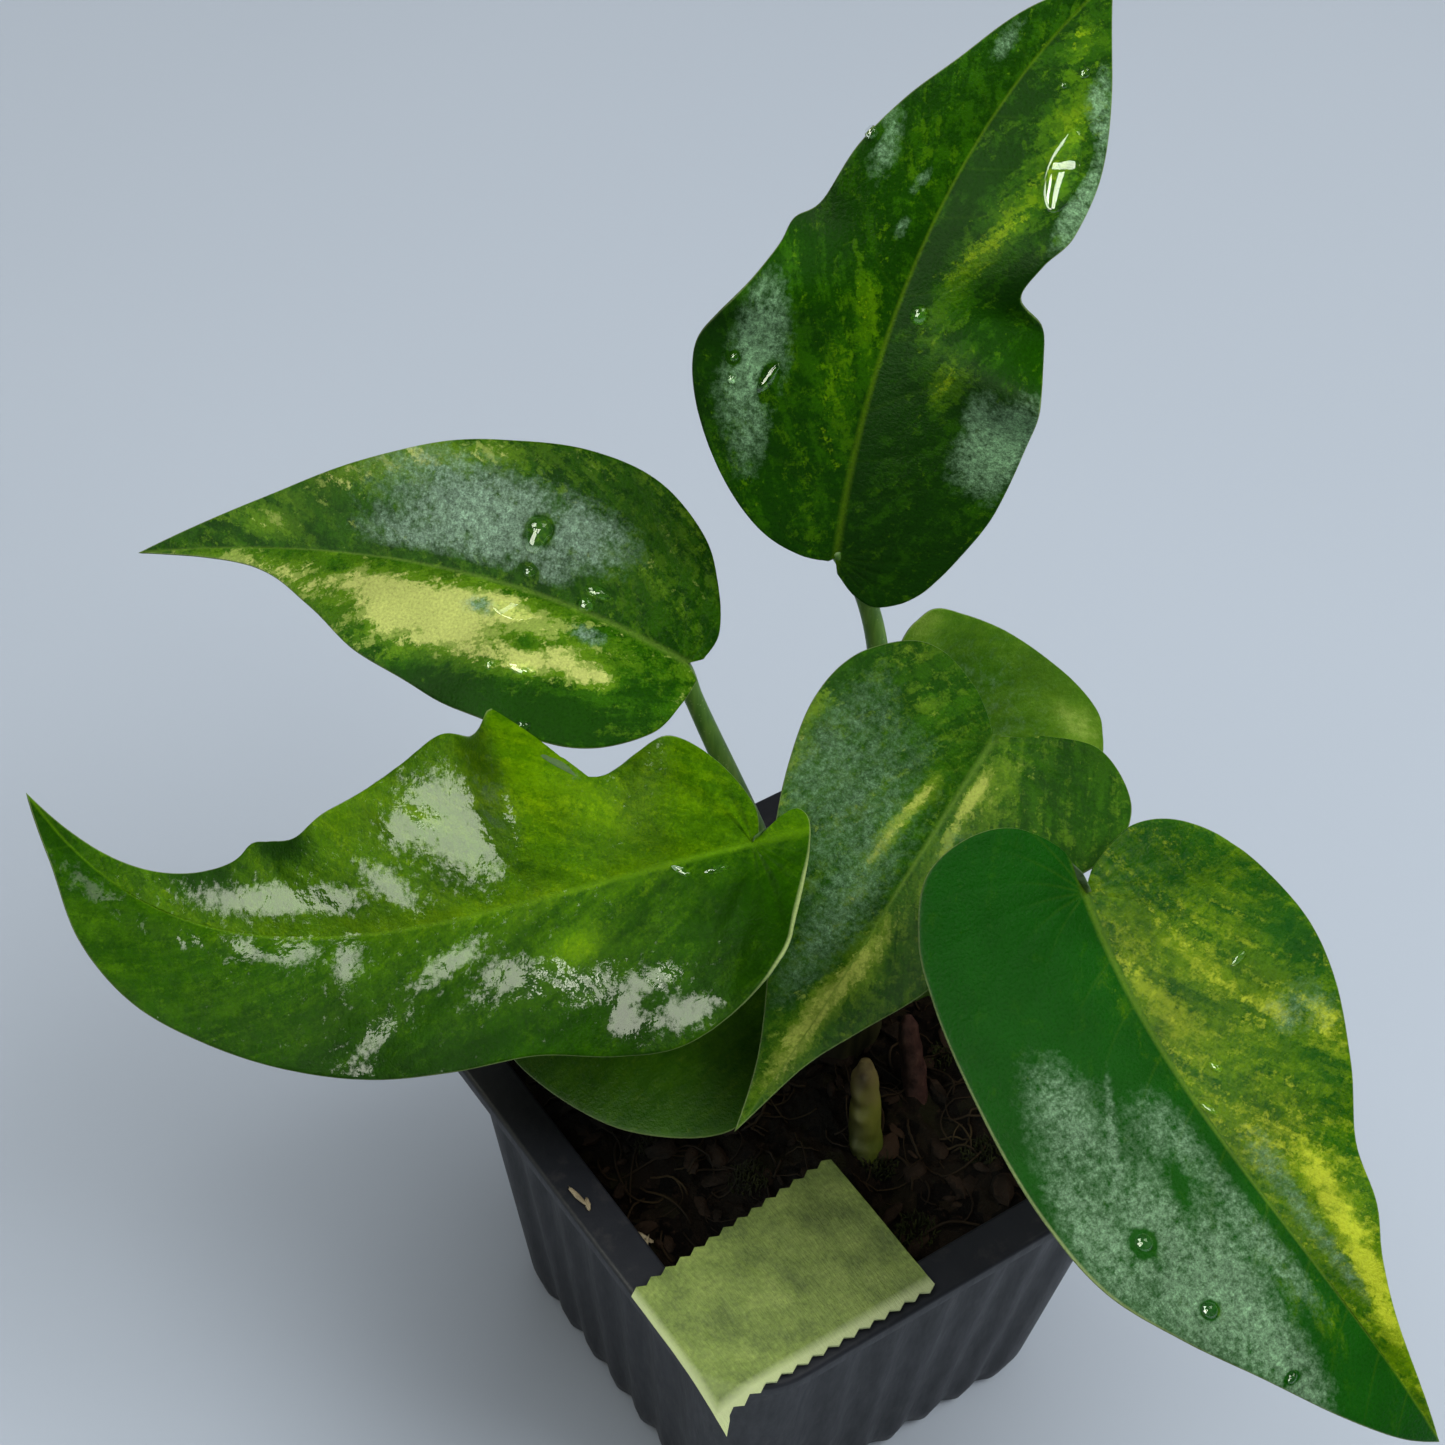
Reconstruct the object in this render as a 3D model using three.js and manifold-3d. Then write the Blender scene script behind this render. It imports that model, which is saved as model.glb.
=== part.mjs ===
// A young anthurium with seven waved, variegated leaves, growing in a small square nursery pot.
// Millimetres, +Z up. The origin is the centre of the pot's base; X and Y run along the pot's sides.

import * as THREE from 'three';
import Module from 'manifold-3d';

const wasm = await Module();
wasm.setup();

// Pot
const potHeight = 58;
const rimHalfWidth = 37.5;
const wallTopHalfWidth = 33.4;
const wallFootHalfWidth = 27.2;
const footRoundHalfWidth = 26.4;
const baseHalfWidth = 24.8;
const mouthHalfWidth = 32;
const floorHalfWidth = 24.2;
const rimDepth = 2.6;
const rimRounding = 0.6;
const footHeight = 4.5;
const footRoundHeight = 1.5;
const floorThickness = 1.6;
const rimCornerRadius = 11;
const wallCornerRadius = 9;
const mouthCornerRadius = 7.5;
const flutesPerSide = 6;
const fluteDepth = 0.7;
const footFluteDepth = 1;
const stepsPerFlute = 2;
const cornerSteps = 3;

// Soil, with the low waves of its surface: how fast each goes along X and Y (radians per mm), where it starts
// and its height
const fitGap = 0.3;
const soilDepthBelowRim = 6.5;
const soilRings = 5;
const soilWaves = [
  { x: 0.21, y: 0.17, start: 0.4, height: 0.4 },
  { x: 0.21, y: -0.17, start: 1.2, height: 0.4 },
  { x: 0.55, y: -0.3, start: 0, height: 0.4 },
  { x: 0.35, y: 0.47, start: 2.57, height: 0.32 },
];

// Plant, drawn from the centre of the rim plane and turned in the pot
const plantTurn = THREE.MathUtils.degToRad(-37.5);
const bladeThickness = 0.8;
const bladeColumns = 32;
const bladeRows = 4;
const veinLean = 0.6;
const waveReachLimit = 1.5;
const petioleSides = 8;
const petioleSteps = 9;
const petioleFootRadius = 1.7;
const petioleTopRadius = 1.2;
const crownPlace = { x: 3, y: 9.5 };
const crownSides = 16;
const crownRadius = 6.6;
const crownFootRadius = 5.3;
const crownTopRadius = 5;
const crownTop = 3.5;
const crownFoot = -15;

// Each leaf: its midrib as four Bezier points, the way its face looks at base and tip, how steeply each half
// rises from the midrib (radians, base and tip), how much it arches over on the way out (radians per mm) and
// each half's flat outline from the basal lobe to the tip as [distance from midrib, distance along midrib].
// Left is the left hand going from base to tip. A wave lifts the margin by so much, around one distance along
// the midrib. The petiole is given by its root in the crown and the two middle points of its Bezier curve.
const leaves = {
  upright_leaf: {
    midrib: [[-2, 17, 69.5], [-1.5, 19, 93.5], [4.5, 33.5, 116], [22, 48, 126.5]],
    facing: [[0.05, -0.75, 0.55], [0, -0.62, 0.78]],
    rise: [0.4, 0.25],
    arch: 0.02,
    left: [
      [1, -0.5], [4.5, 1], [9.5, 4.5], [15, 10.5], [18.5, 16.5], [20, 22], [18.5, 26], [16, 30],
      [14.5, 33], [14, 35.5], [12, 38], [11, 44], [9, 50], [6.5, 56], [4, 64],
    ],
    right: [
      [0.5, -2.5], [3, -5], [6, -5.5], [10.5, -2], [15, 6.5], [17, 13], [18, 22.5], [17, 30],
      [15.5, 34.5], [12, 37], [12.5, 41.5], [14, 46.5], [13, 54.5], [8.5, 63],
    ],
    waves: [
      { hand: 1, at: 29, span: 4, lift: 2.5, reach: 14 },
      { hand: 1, at: 36, span: 4, lift: -1.5, reach: 11 },
      { hand: -1, at: 27, span: 4, lift: 2.5, reach: 14 },
      { hand: -1, at: 34, span: 3.5, lift: -2.5, reach: 12 },
      { hand: -1, at: 43, span: 5, lift: 1.5, reach: 12 },
      { hand: 1, at: 12, span: 6, lift: -1.5, reach: 15 },
    ],
    petiole: { root: [3, 9.7, 0.5], bends: [[7, 17, 32], [7, 19, 57]] },
  },
  rear_left_leaf: {
    midrib: [[-18, 14, 53.5], [-38.5, 19, 63], [-61.5, 29, 55], [-83.5, 26, 53]],
    facing: [[0.05, -0.45, 0.9], [0.1, -0.5, 0.85]],
    rise: [0.4, 0.3],
    arch: 0.02,
    left: [
      [1.5, -2], [5.5, -1.5], [10.5, 0], [15.5, 5], [17.5, 11.5], [17, 22], [15, 30], [12.5, 38],
      [7.5, 45.5], [2.5, 54],
    ],
    right: [
      [1.5, -1.5], [5, -1.5], [10, 1.5], [14, 5], [17.5, 11.5], [18, 19], [16.5, 27], [15, 32.5],
      [12, 39], [9.5, 45.5], [6.5, 52], [4, 58],
    ],
    waves: [
      { hand: 1, at: 28, span: 6, lift: -1.5, reach: 14 },
      { hand: -1, at: 40, span: 6, lift: 1.2, reach: 12 },
    ],
    petiole: { root: [-0.8, 11.7, 0.5], bends: [[-5.5, 17.5, 18], [-14, 15.5, 36.5]] },
  },
  front_left_leaf: {
    midrib: [[-9, -7, 47], [-36.5, -16.5, 45.5], [-72, -15, 12.5], [-93, 0, 38.5]],
    facing: [[0, -0.5, 0.85], [0.25, -0.5, 0.8]],
    rise: [0.35, 0.3],
    arch: 0.02,
    left: [
      [-1.6, -2.5], [-3, -4.7], [-3.2, -6.4], [-1.3, -7.1], [2.4, -6], [6, -4.2], [10, -1.8], [14.8, 1.4],
      [18.3, 6], [20.5, 13], [19.5, 20.5], [17.5, 28], [17.5, 36], [17, 45], [15.5, 54], [13.5, 62.5],
      [11.5, 70], [8, 77.5], [3.5, 84.5],
    ],
    right: [
      [1, -1], [4.5, -1], [10, 2], [13.5, 6], [13, 10], [12, 15], [14.5, 19.5], [18.5, 22], [21, 23],
      [19.5, 25], [19.5, 27.5], [21, 32], [18.5, 38.5], [14.5, 48.5], [11.5, 54], [11, 59], [10.5, 62],
      [8, 64.5], [5, 71], [2.5, 79.5],
    ],
    waves: [
      { hand: -1, at: 6, span: 4, lift: 2.5, reach: 14 },
      { hand: -1, at: 14, span: 4, lift: -2.5, reach: 13 },
      { hand: -1, at: 24, span: 3.5, lift: 5.2, reach: 18 },
      { hand: -1, at: 52, span: 5, lift: 2, reach: 13 },
      { hand: 1, at: -2, span: 7, lift: 4, reach: 11 },
      { hand: 1, at: 20, span: 7, lift: -2, reach: 18 },
      { hand: 1, at: 36, span: 7, lift: 1.5, reach: 17 },
      { hand: 1, at: 52, span: 8, lift: -1.5, reach: 16 },
    ],
    petiole: { root: [-0.8, 7.3, 0.5], bends: [[-3.5, 10, 18], [-4.5, 1, 38]] },
  },
  centre_leaf: {
    midrib: [[17.5, 7.5, 50.5], [8.5, -6.5, 43], [1.5, -15, 28.5], [-8.5, -26, 18.5]],
    facing: [[-0.1, -0.6, 0.8], [-0.2, -0.75, 0.65]],
    rise: [0.4, 0.3],
    arch: 0.02,
    left: [
      [0.5, -1.5], [3, -2.5], [5.5, -4], [11.5, -5.5], [17.5, -2], [19, 3.5], [17, 8], [14.5, 12.5],
      [11.5, 19.5], [9, 28], [5, 36], [2, 43],
    ],
    right: [
      [1, -1.5], [3, -3], [6, -4.5], [11, -5.5], [15, -4], [19, 1], [20, 7], [18.5, 14],
      [16, 20.5], [12, 28], [7, 37], [3, 45],
    ],
    waves: [
      { hand: -1, at: 26, span: 6, lift: 1.5, reach: 14 },
      { hand: 1, at: 10, span: 6, lift: 1.5, reach: 16 },
    ],
    petiole: { root: [7, 11.4, 0.5], bends: [[14, 16, 22], [19.5, 13, 44]] },
  },
  front_right_leaf: {
    midrib: [[28, -12, 48.5], [37.5, -29, 34.5], [55, -51, 37], [69.5, -58, 16]],
    facing: [[0.1, -0.6, 0.8], [0.3, -0.65, 0.7]],
    rise: [0.4, 0.3],
    arch: 0.02,
    left: [
      [1, -1.5], [2.5, -3], [7.5, -5.5], [13, -4], [18, 1.5], [21, 12], [20, 22.5], [16.5, 31.5],
      [12, 39], [9.5, 45.5], [6, 51], [3, 58.5],
    ],
    right: [
      [0.5, -2], [1, -5.5], [6, -9.5], [12, -10], [17.5, -7.5], [20.5, -1.5], [21.5, 5], [22, 15],
      [22.5, 28], [21.5, 36.5], [17.5, 44.5], [13, 52], [8.5, 60], [4, 67],
    ],
    waves: [
      { hand: 1, at: 41, span: 5, lift: -1.5, reach: 12 },
      { hand: 1, at: 20, span: 8, lift: 1, reach: 18 },
      { hand: -1, at: 34, span: 9, lift: 1.5, reach: 20 },
    ],
    petiole: { root: [6.6, 7, 0.5], bends: [[15, 3, 12], [26, -5, 32]] },
  },
  rear_right_leaf: {
    midrib: [[7.5, 30, 35], [15.5, 30, 26], [28, 25, 23.5], [33, 24.5, 12.5]],
    facing: [[0.1, -0.55, 0.85], [0.2, -0.6, 0.75]],
    rise: [0.35, 0.3],
    arch: 0.02,
    left: [
      [1, -1.5], [4.5, -4], [8, -4.5], [11.5, -2.5], [14.5, 7], [15, 16.5], [14, 22.5], [12, 25],
      [9.5, 27], [5.5, 30],
    ],
    right: [[1, -1.5], [5.5, -3.5], [10, 0.5], [11.5, 8], [11, 16.5], [9, 24.5], [5, 31]],
    waves: [],
    petiole: { root: [3.4, 13.9, 0.5], bends: [[3, 22, 12], [5, 31, 26]] },
  },
  low_leaf: {
    midrib: [[-1.5, 1, 13.5], [-12.5, -5.5, 19.5], [-26.5, -5.5, 13.5], [-38, -7, 9]],
    facing: [[0, -0.35, 0.95], [0, -0.4, 0.9]],
    rise: [0.3, 0.25],
    arch: 0.015,
    left: [
      [1, -1], [4, -0.5], [8.5, 2.5], [13, 6.5], [16.5, 10], [18.8, 13.5], [18.5, 18.5], [16, 25],
      [11.5, 31], [5.5, 36.5],
    ],
    right: [[1, -1], [3, -1], [5, 2.5], [7, 7.5], [8, 13], [7.5, 21], [6, 29], [3, 35]],
    waves: [],
    petiole: { root: [3, 5.1, -0.5], bends: [[2, 3, 4], [1.5, 2, 8]] },
  },
};

// Stubs that stand in the soil: the middle of foot and top, and the radii from the buried end to the tip
const stubDepth = 4;
const stubSides = 10;
const paleStub = {
  foot: [8.4, -8.8, -soilDepthBelowRim],
  top: [7.3, -3, 3.3],
  radii: [1.8, 2.3, 1.6, 0.6],
};
const brownStub = {
  foot: [14.5, -0.6, -soilDepthBelowRim],
  top: [12.6, 5, 2.4],
  radii: [1.4, 1.7, 1.3, 0.5],
};

// Tape across the pot's front corner, measured in the pot's frame; its outer corner is drawn out to a point
const tape = { left: -38, right: -7.2, backAtLeft: -17.8, backAtRight: -14.8, front: -36.8, cornerPoint: 2 };
const tapeThickness = 0.6;
const tapeLift = 0.5;
const tapeTeeth = 14;
const toothDepth = 0.8;
const tapeRowShares = [0, 0.1, 0.2, 0.36, 1];
const tapeBend = 0.55;

const upward = new THREE.Vector3(0, 0, 1);

function vector(point) {
  return new THREE.Vector3(...point);
}

function meshOf(positions, index) {
  const geometry = new THREE.BufferGeometry();
  geometry.setAttribute('position', new THREE.Float32BufferAttribute(positions, 3));
  geometry.setIndex(index);
  return geometry;
}

// A closed body through rings with the same number of points, from its low end to its high end
function stackRings(rings) {
  const sides = rings[0].length;
  const positions = [];
  const index = [];
  rings.forEach((ring) => ring.forEach((point) => positions.push(...point)));
  const poles = [rings[0], rings[rings.length - 1]].map((ring) => {
    const middle = ring.reduce((sum, point) => sum.add(point), new THREE.Vector3()).divideScalar(sides);
    positions.push(...middle);
    return positions.length / 3 - 1;
  });
  for (let side = 0; side < sides; side++) {
    const next = (side + 1) % sides;
    for (let ring = 0; ring < rings.length - 1; ring++) {
      const a = ring * sides;
      const b = a + sides;
      index.push(a + side, a + next, b + next);
      index.push(a + side, b + next, b + side);
    }
    const last = (rings.length - 1) * sides;
    index.push(poles[0], next, side);
    index.push(last + side, last + next, poles[1]);
  }
  return meshOf(positions, index);
}

// Gives an open sheet its thickness: the sheet's triangles on both faces, and a strip round its edge
function thicken(sheet, thickness) {
  sheet.computeVertexNormals();
  const middle = sheet.attributes.position;
  const normal = sheet.attributes.normal;
  const faces = sheet.index.array;
  const count = middle.count;
  const positions = [];
  for (const side of [0.5, -0.5]) {
    for (let i = 0; i < count; i++) {
      const point = new THREE.Vector3().fromBufferAttribute(middle, i);
      point.addScaledVector(new THREE.Vector3().fromBufferAttribute(normal, i), side * thickness);
      positions.push(...point);
    }
  }
  const index = [];
  const edges = new Map();
  for (let i = 0; i < faces.length; i += 3) {
    const corners = [faces[i], faces[i + 1], faces[i + 2]];
    index.push(...corners);
    index.push(corners[0] + count, corners[2] + count, corners[1] + count);
    corners.forEach((from, at) => {
      const to = corners[(at + 1) % 3];
      edges.set(`${from}_${to}`, [from, to]);
    });
  }
  for (const [from, to] of edges.values()) {
    if (edges.has(`${to}_${from}`)) continue;
    index.push(from, from + count, to + count);
    index.push(from, to + count, to);
  }
  return meshOf(positions, index);
}

function toSolid(geometry) {
  return new wasm.Manifold(new wasm.Mesh({
    numProp: 3,
    vertProperties: new Float32Array(geometry.attributes.position.array),
    triVerts: new Uint32Array(geometry.index.array),
  }));
}

function cutAway(body, holes) {
  const solid = holes.reduce((rest, hole) => rest.subtract(toSolid(hole)), toSolid(body));
  const cut = solid.getMesh();
  return meshOf(cut.vertProperties, Array.from(cut.triVerts));
}

// One level ring of a square with round corners; the straight runs can be fluted inwards
function squareRing(height, halfWidth, cornerRadius, depth = 0) {
  const sideSteps = stepsPerFlute * flutesPerSide;
  const straight = halfWidth - cornerRadius;
  const ring = [];
  for (let quarter = 0; quarter < 4; quarter++) {
    const place = (x, y) => {
      const point = new THREE.Vector3(x, y, height);
      ring.push(point.applyAxisAngle(upward, quarter * Math.PI / 2));
    };
    for (let step = 0; step < sideSteps; step++) {
      const along = step / sideSteps;
      const inwards = depth * (1 - Math.cos(2 * Math.PI * flutesPerSide * along)) / 2;
      place(halfWidth - inwards, straight * (2 * along - 1));
    }
    for (let step = 0; step < cornerSteps; step++) {
      const angle = step / cornerSteps * Math.PI / 2;
      place(straight + cornerRadius * Math.cos(angle), straight + cornerRadius * Math.sin(angle));
    }
  }
  return ring;
}

function roundRing(x, y, height, radius, sides) {
  return Array.from({ length: sides }, (_, side) => {
    const angle = side / sides * 2 * Math.PI;
    return new THREE.Vector3(x + radius * Math.cos(angle), y + radius * Math.sin(angle), height);
  });
}

function potGeometry() {
  const underRim = potHeight - rimDepth;
  return stackRings([
    squareRing(0, baseHalfWidth, wallCornerRadius, fluteDepth),
    squareRing(footRoundHeight, footRoundHalfWidth, wallCornerRadius, footFluteDepth),
    squareRing(footHeight, wallFootHalfWidth, wallCornerRadius, fluteDepth),
    squareRing(underRim, wallTopHalfWidth, wallCornerRadius, fluteDepth),
    squareRing(underRim, rimHalfWidth - rimRounding / 2, rimCornerRadius),
    squareRing(potHeight - rimRounding, rimHalfWidth, rimCornerRadius),
    squareRing(potHeight, rimHalfWidth - rimRounding, rimCornerRadius),
    squareRing(potHeight, mouthHalfWidth + rimRounding, mouthCornerRadius),
    squareRing(potHeight - rimRounding, mouthHalfWidth, mouthCornerRadius),
    squareRing(floorThickness, floorHalfWidth, mouthCornerRadius),
  ]);
}

function soilLevel(x, y) {
  const lump = soilWaves.reduce((sum, wave) => (
    sum + wave.height * Math.sin(wave.x * x + wave.y * y + wave.start)), 0);
  return potHeight - soilDepthBelowRim + lump;
}

function mouthWidthAt(height) {
  const share = (height - floorThickness) / (potHeight - rimRounding - floorThickness);
  return THREE.MathUtils.lerp(floorHalfWidth, mouthHalfWidth, share);
}

// Turns what is drawn from the rim plane into its place in the pot
function placeInPot(geometry) {
  return geometry.rotateZ(plantTurn).translate(0, 0, potHeight);
}

function soilGeometry() {
  const bottom = floorThickness + fitGap;
  const edge = potHeight - soilDepthBelowRim;
  const rings = [squareRing(bottom, mouthWidthAt(bottom) - fitGap, mouthCornerRadius)];
  for (let ring = 0; ring < soilRings; ring++) {
    const spread = 1 - ring / soilRings;
    const level = squareRing(0, (mouthWidthAt(edge) - fitGap) * spread, mouthCornerRadius * spread);
    level.forEach((point) => point.setZ(ring === 0 ? edge : soilLevel(point.x, point.y)));
    rings.push(level);
  }
  const crownHole = placeInPot(stackRings([crownFoot - fitGap, potHeight].map((height) => (
    roundRing(crownPlace.x, crownPlace.y, height, crownRadius + fitGap, crownSides)))));
  const stubHoles = [paleStub, brownStub].map((stub) => stubGeometry(stub, fitGap));
  return cutAway(stackRings(rings), [crownHole, ...stubHoles]);
}

// The blade as a surface: a flat place (distance from midrib, distance along it) becomes a place in space
function bladeSurface(leaf) {
  const midrib = new THREE.CubicBezierCurve3(...leaf.midrib.map(vector));
  const length = midrib.getLength();
  const place = (hand, across, along) => {
    const share = THREE.MathUtils.clamp(along / length, 0, 1);
    const forward = midrib.getTangentAt(share);
    const up = vector(leaf.facing[0]).lerp(vector(leaf.facing[1]), share);
    up.addScaledVector(forward, -up.dot(forward)).normalize();
    const outward = new THREE.Vector3().crossVectors(up, forward).multiplyScalar(hand);
    const rise = THREE.MathUtils.lerp(leaf.rise[0], leaf.rise[1], share);
    const slope = rise - leaf.arch * across;
    let lift = (Math.cos(slope) - Math.cos(rise)) / leaf.arch;
    for (const wave of leaf.waves.filter((one) => one.hand === hand)) {
      const swell = Math.exp(-(((along - wave.at) / wave.span) ** 2));
      lift += wave.lift * swell * Math.min(across / wave.reach, waveReachLimit) ** 2;
    }
    return midrib.getPointAt(share)
      .addScaledVector(forward, Math.min(along, 0))
      .addScaledVector(outward, (Math.sin(rise) - Math.sin(slope)) / leaf.arch)
      .addScaledVector(up, lift);
  };
  return { place, length };
}

// The blade's outline and side veins: for each column, its two outline points and where it leaves the midrib
function bladeColumnsOf(leaf, length) {
  const [left, right] = [leaf.left, leaf.right].map((outline) => (
    new THREE.SplineCurve([...outline, [0, length]].map((point) => new THREE.Vector2(...point)))));
  const columns = [];
  let station = 0;
  for (let column = 0; column < bladeColumns; column++) {
    const share = column / bladeColumns;
    const ends = [left.getPointAt(share), right.getPointAt(share)];
    const start = (ends[0].y + ends[1].y - veinLean * (ends[0].x + ends[1].x)) / 2;
    station = Math.max(station, start);
    columns.push({ ends, station });
  }
  return columns;
}

function bladeGeometry(leaf) {
  const { place, length } = bladeSurface(leaf);
  const columns = bladeColumnsOf(leaf, length);
  const positions = [];
  const index = [];
  const add = (point) => positions.push(...point) / 3 - 1;
  const triangle = (hand, a, b, c) => {
    if (a === b || b === c || c === a) return;
    index.push(...(hand > 0 ? [a, b, c] : [a, c, b]));
  };
  const middle = [];
  columns.forEach(({ station }, at) => {
    const shared = at > 0 && columns[at - 1].station === station;
    middle.push(shared ? middle[at - 1] : add(place(1, 0, station)));
  });
  const tip = add(place(1, 0, length));
  [1, -1].forEach((hand, half) => {
    const rows = columns.map(({ ends, station }, at) => {
      const row = [middle[at]];
      for (let step = 1; step <= bladeRows; step++) {
        const share = step / bladeRows;
        const along = THREE.MathUtils.lerp(station, ends[half].y, share);
        row.push(add(place(hand, ends[half].x * share, along)));
      }
      return row;
    });
    rows.push(Array(bladeRows + 1).fill(tip));
    for (let column = 0; column < bladeColumns; column++) {
      const [near, far] = [rows[column], rows[column + 1]];
      for (let step = 0; step < bladeRows; step++) {
        triangle(hand, near[step], far[step], near[step + 1]);
        triangle(hand, far[step], far[step + 1], near[step + 1]);
      }
    }
  });
  return placeInPot(thicken(meshOf(positions, index), bladeThickness));
}

// The stalk runs from the crown to just under the blade's base; extra widens it for its socket
function petioleGeometry(leaf, extra = 0) {
  const [base, ahead] = leaf.midrib.map(vector);
  const [lowBend, highBend] = leaf.petiole.bends.map(vector);
  const forward = ahead.sub(base).normalize();
  const up = vector(leaf.facing[0]);
  up.addScaledVector(forward, -up.dot(forward)).normalize();
  const arrival = base.clone().sub(highBend).normalize();
  const reach = petioleTopRadius * Math.sqrt(1 - arrival.dot(up) ** 2);
  const end = base.addScaledVector(up, -bladeThickness / 2 - fitGap - reach);
  const start = vector(leaf.petiole.root);
  start.addScaledVector(start.clone().sub(lowBend).normalize(), extra);
  const curve = new THREE.CubicBezierCurve3(start, lowBend, highBend, end);
  const frames = curve.computeFrenetFrames(petioleSteps);
  const rings = [];
  for (let step = 0; step <= petioleSteps; step++) {
    const share = step / petioleSteps;
    const radius = THREE.MathUtils.lerp(petioleFootRadius, petioleTopRadius, share) + extra;
    const centre = curve.getPointAt(share);
    rings.push(Array.from({ length: petioleSides }, (_, side) => {
      const angle = side / petioleSides * 2 * Math.PI;
      return centre.clone()
        .addScaledVector(frames.normals[step], radius * Math.cos(angle))
        .addScaledVector(frames.binormals[step], radius * Math.sin(angle));
    }));
  }
  return placeInPot(stackRings(rings));
}

function crownGeometry() {
  const ring = (height, radius) => roundRing(crownPlace.x, crownPlace.y, height, radius, crownSides);
  const stem = placeInPot(stackRings([
    ring(crownFoot, crownFootRadius),
    ring(-soilDepthBelowRim, crownRadius),
    ring(0, crownRadius),
    ring(crownTop, crownTopRadius),
  ]));
  return cutAway(stem, Object.values(leaves).map((leaf) => petioleGeometry(leaf, fitGap)));
}

// A stub leans from its foot to its top; its buried end carries on below the soil's surface
function stubGeometry(stub, extra = 0) {
  const foot = vector(stub.foot);
  const top = vector(stub.top);
  const lean = top.clone().sub(foot).normalize();
  const buried = foot.clone().addScaledVector(lean, -stubDepth - extra);
  const shoulder = top.clone().addScaledVector(lean, -stub.radii[2]);
  const facing = new THREE.Quaternion().setFromUnitVectors(upward, lean);
  return placeInPot(stackRings([buried, foot, shoulder, top].map((middle, at) => (
    roundRing(0, 0, 0, stub.radii[at] + extra, stubSides)
      .map((point) => point.applyQuaternion(facing).add(middle))))));
}

function outsideRim(x, y) {
  const straight = rimHalfWidth - rimCornerRadius;
  const pastX = Math.max(Math.abs(x) - straight, 0);
  const pastY = Math.max(Math.abs(y) - straight, 0);
  return Math.hypot(pastX, pastY) - rimCornerRadius;
}

// The tape lies flat on the rim and bends down where it reaches past the rim's edge
function tapeHeight(x, y) {
  const past = Math.max(0, outsideRim(x, y) - fitGap);
  return potHeight + tapeLift + tapeThickness / 2 - tapeBend * past;
}

function tapeGeometry() {
  const columns = 2 * tapeTeeth;
  const positions = [];
  const index = [];
  for (const share of tapeRowShares) {
    for (let column = 0; column <= columns; column++) {
      const x = THREE.MathUtils.lerp(tape.left, tape.right, column / columns);
      const tooth = column % 2 === 0 ? toothDepth : 0;
      const point = column === 0 ? tape.cornerPoint : 0;
      const back = THREE.MathUtils.lerp(tape.backAtLeft, tape.backAtRight, column / columns);
      const y = THREE.MathUtils.lerp(tape.front + tooth - point, back - tooth, share);
      positions.push(x, y, tapeHeight(x, y));
    }
  }
  for (let row = 0; row < tapeRowShares.length - 1; row++) {
    for (let column = 0; column < columns; column++) {
      const near = row * (columns + 1) + column;
      const far = near + columns + 1;
      index.push(near, near + 1, far + 1);
      index.push(near, far + 1, far);
    }
  }
  return thicken(meshOf(positions, index), tapeThickness);
}

const finish = {
  pot: { color: 0x3b3a3f, roughness: 0.6, metalness: 0 },
  soil: { color: 0x2c211a, roughness: 1, metalness: 0 },
  crown: { color: 0x6f7d3a, roughness: 0.7, metalness: 0 },
  petiole: { color: 0x5f8a34, roughness: 0.5, metalness: 0 },
  paleStub: { color: 0xb7c089, roughness: 0.7, metalness: 0 },
  brownStub: { color: 0x6b4a34, roughness: 0.85, metalness: 0 },
  tape: { color: 0x9fb35c, roughness: 0.8, metalness: 0 },
};

const bladeRoughness = 0.35;
const bladeColors = {
  upright_leaf: 0x3d6b22,
  rear_left_leaf: 0x7fa052,
  front_left_leaf: 0x6fa51f,
  centre_leaf: 0x6d8a52,
  front_right_leaf: 0x3f8a2a,
  rear_right_leaf: 0x86a860,
  low_leaf: 0x5d9a1e,
};

function piece(name, geometry, look) {
  const mesh = new THREE.Mesh(geometry, new THREE.MeshStandardMaterial(look));
  mesh.name = name;
  return mesh;
}

const anthurium = new THREE.Group();
anthurium.add(piece('pot', potGeometry(), finish.pot));
anthurium.add(piece('soil', soilGeometry(), finish.soil));
anthurium.add(piece('crown', crownGeometry(), finish.crown));
for (const [name, leaf] of Object.entries(leaves)) {
  const look = { color: bladeColors[name], roughness: bladeRoughness, metalness: 0 };
  anthurium.add(piece(`${name}_blade`, bladeGeometry(leaf), look));
  anthurium.add(piece(`${name}_petiole`, petioleGeometry(leaf), finish.petiole));
}
anthurium.add(piece('pale_stub', stubGeometry(paleStub), finish.paleStub));
anthurium.add(piece('brown_stub', stubGeometry(brownStub), finish.brownStub));
anthurium.add(piece('tape', tapeGeometry(), finish.tape));

export default anthurium;
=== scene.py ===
"""A young variegated anthurium in a small square nursery pot, dressed for rendering.

Shapes are worked out in millimetres and turned into metres when a mesh is made. The plant is drawn from the
centre of the pot's rim plane and then turned and lifted into its place in the pot.
"""

import math
import random

import bpy
import numpy as np
from mathutils import Matrix, Vector


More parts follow.
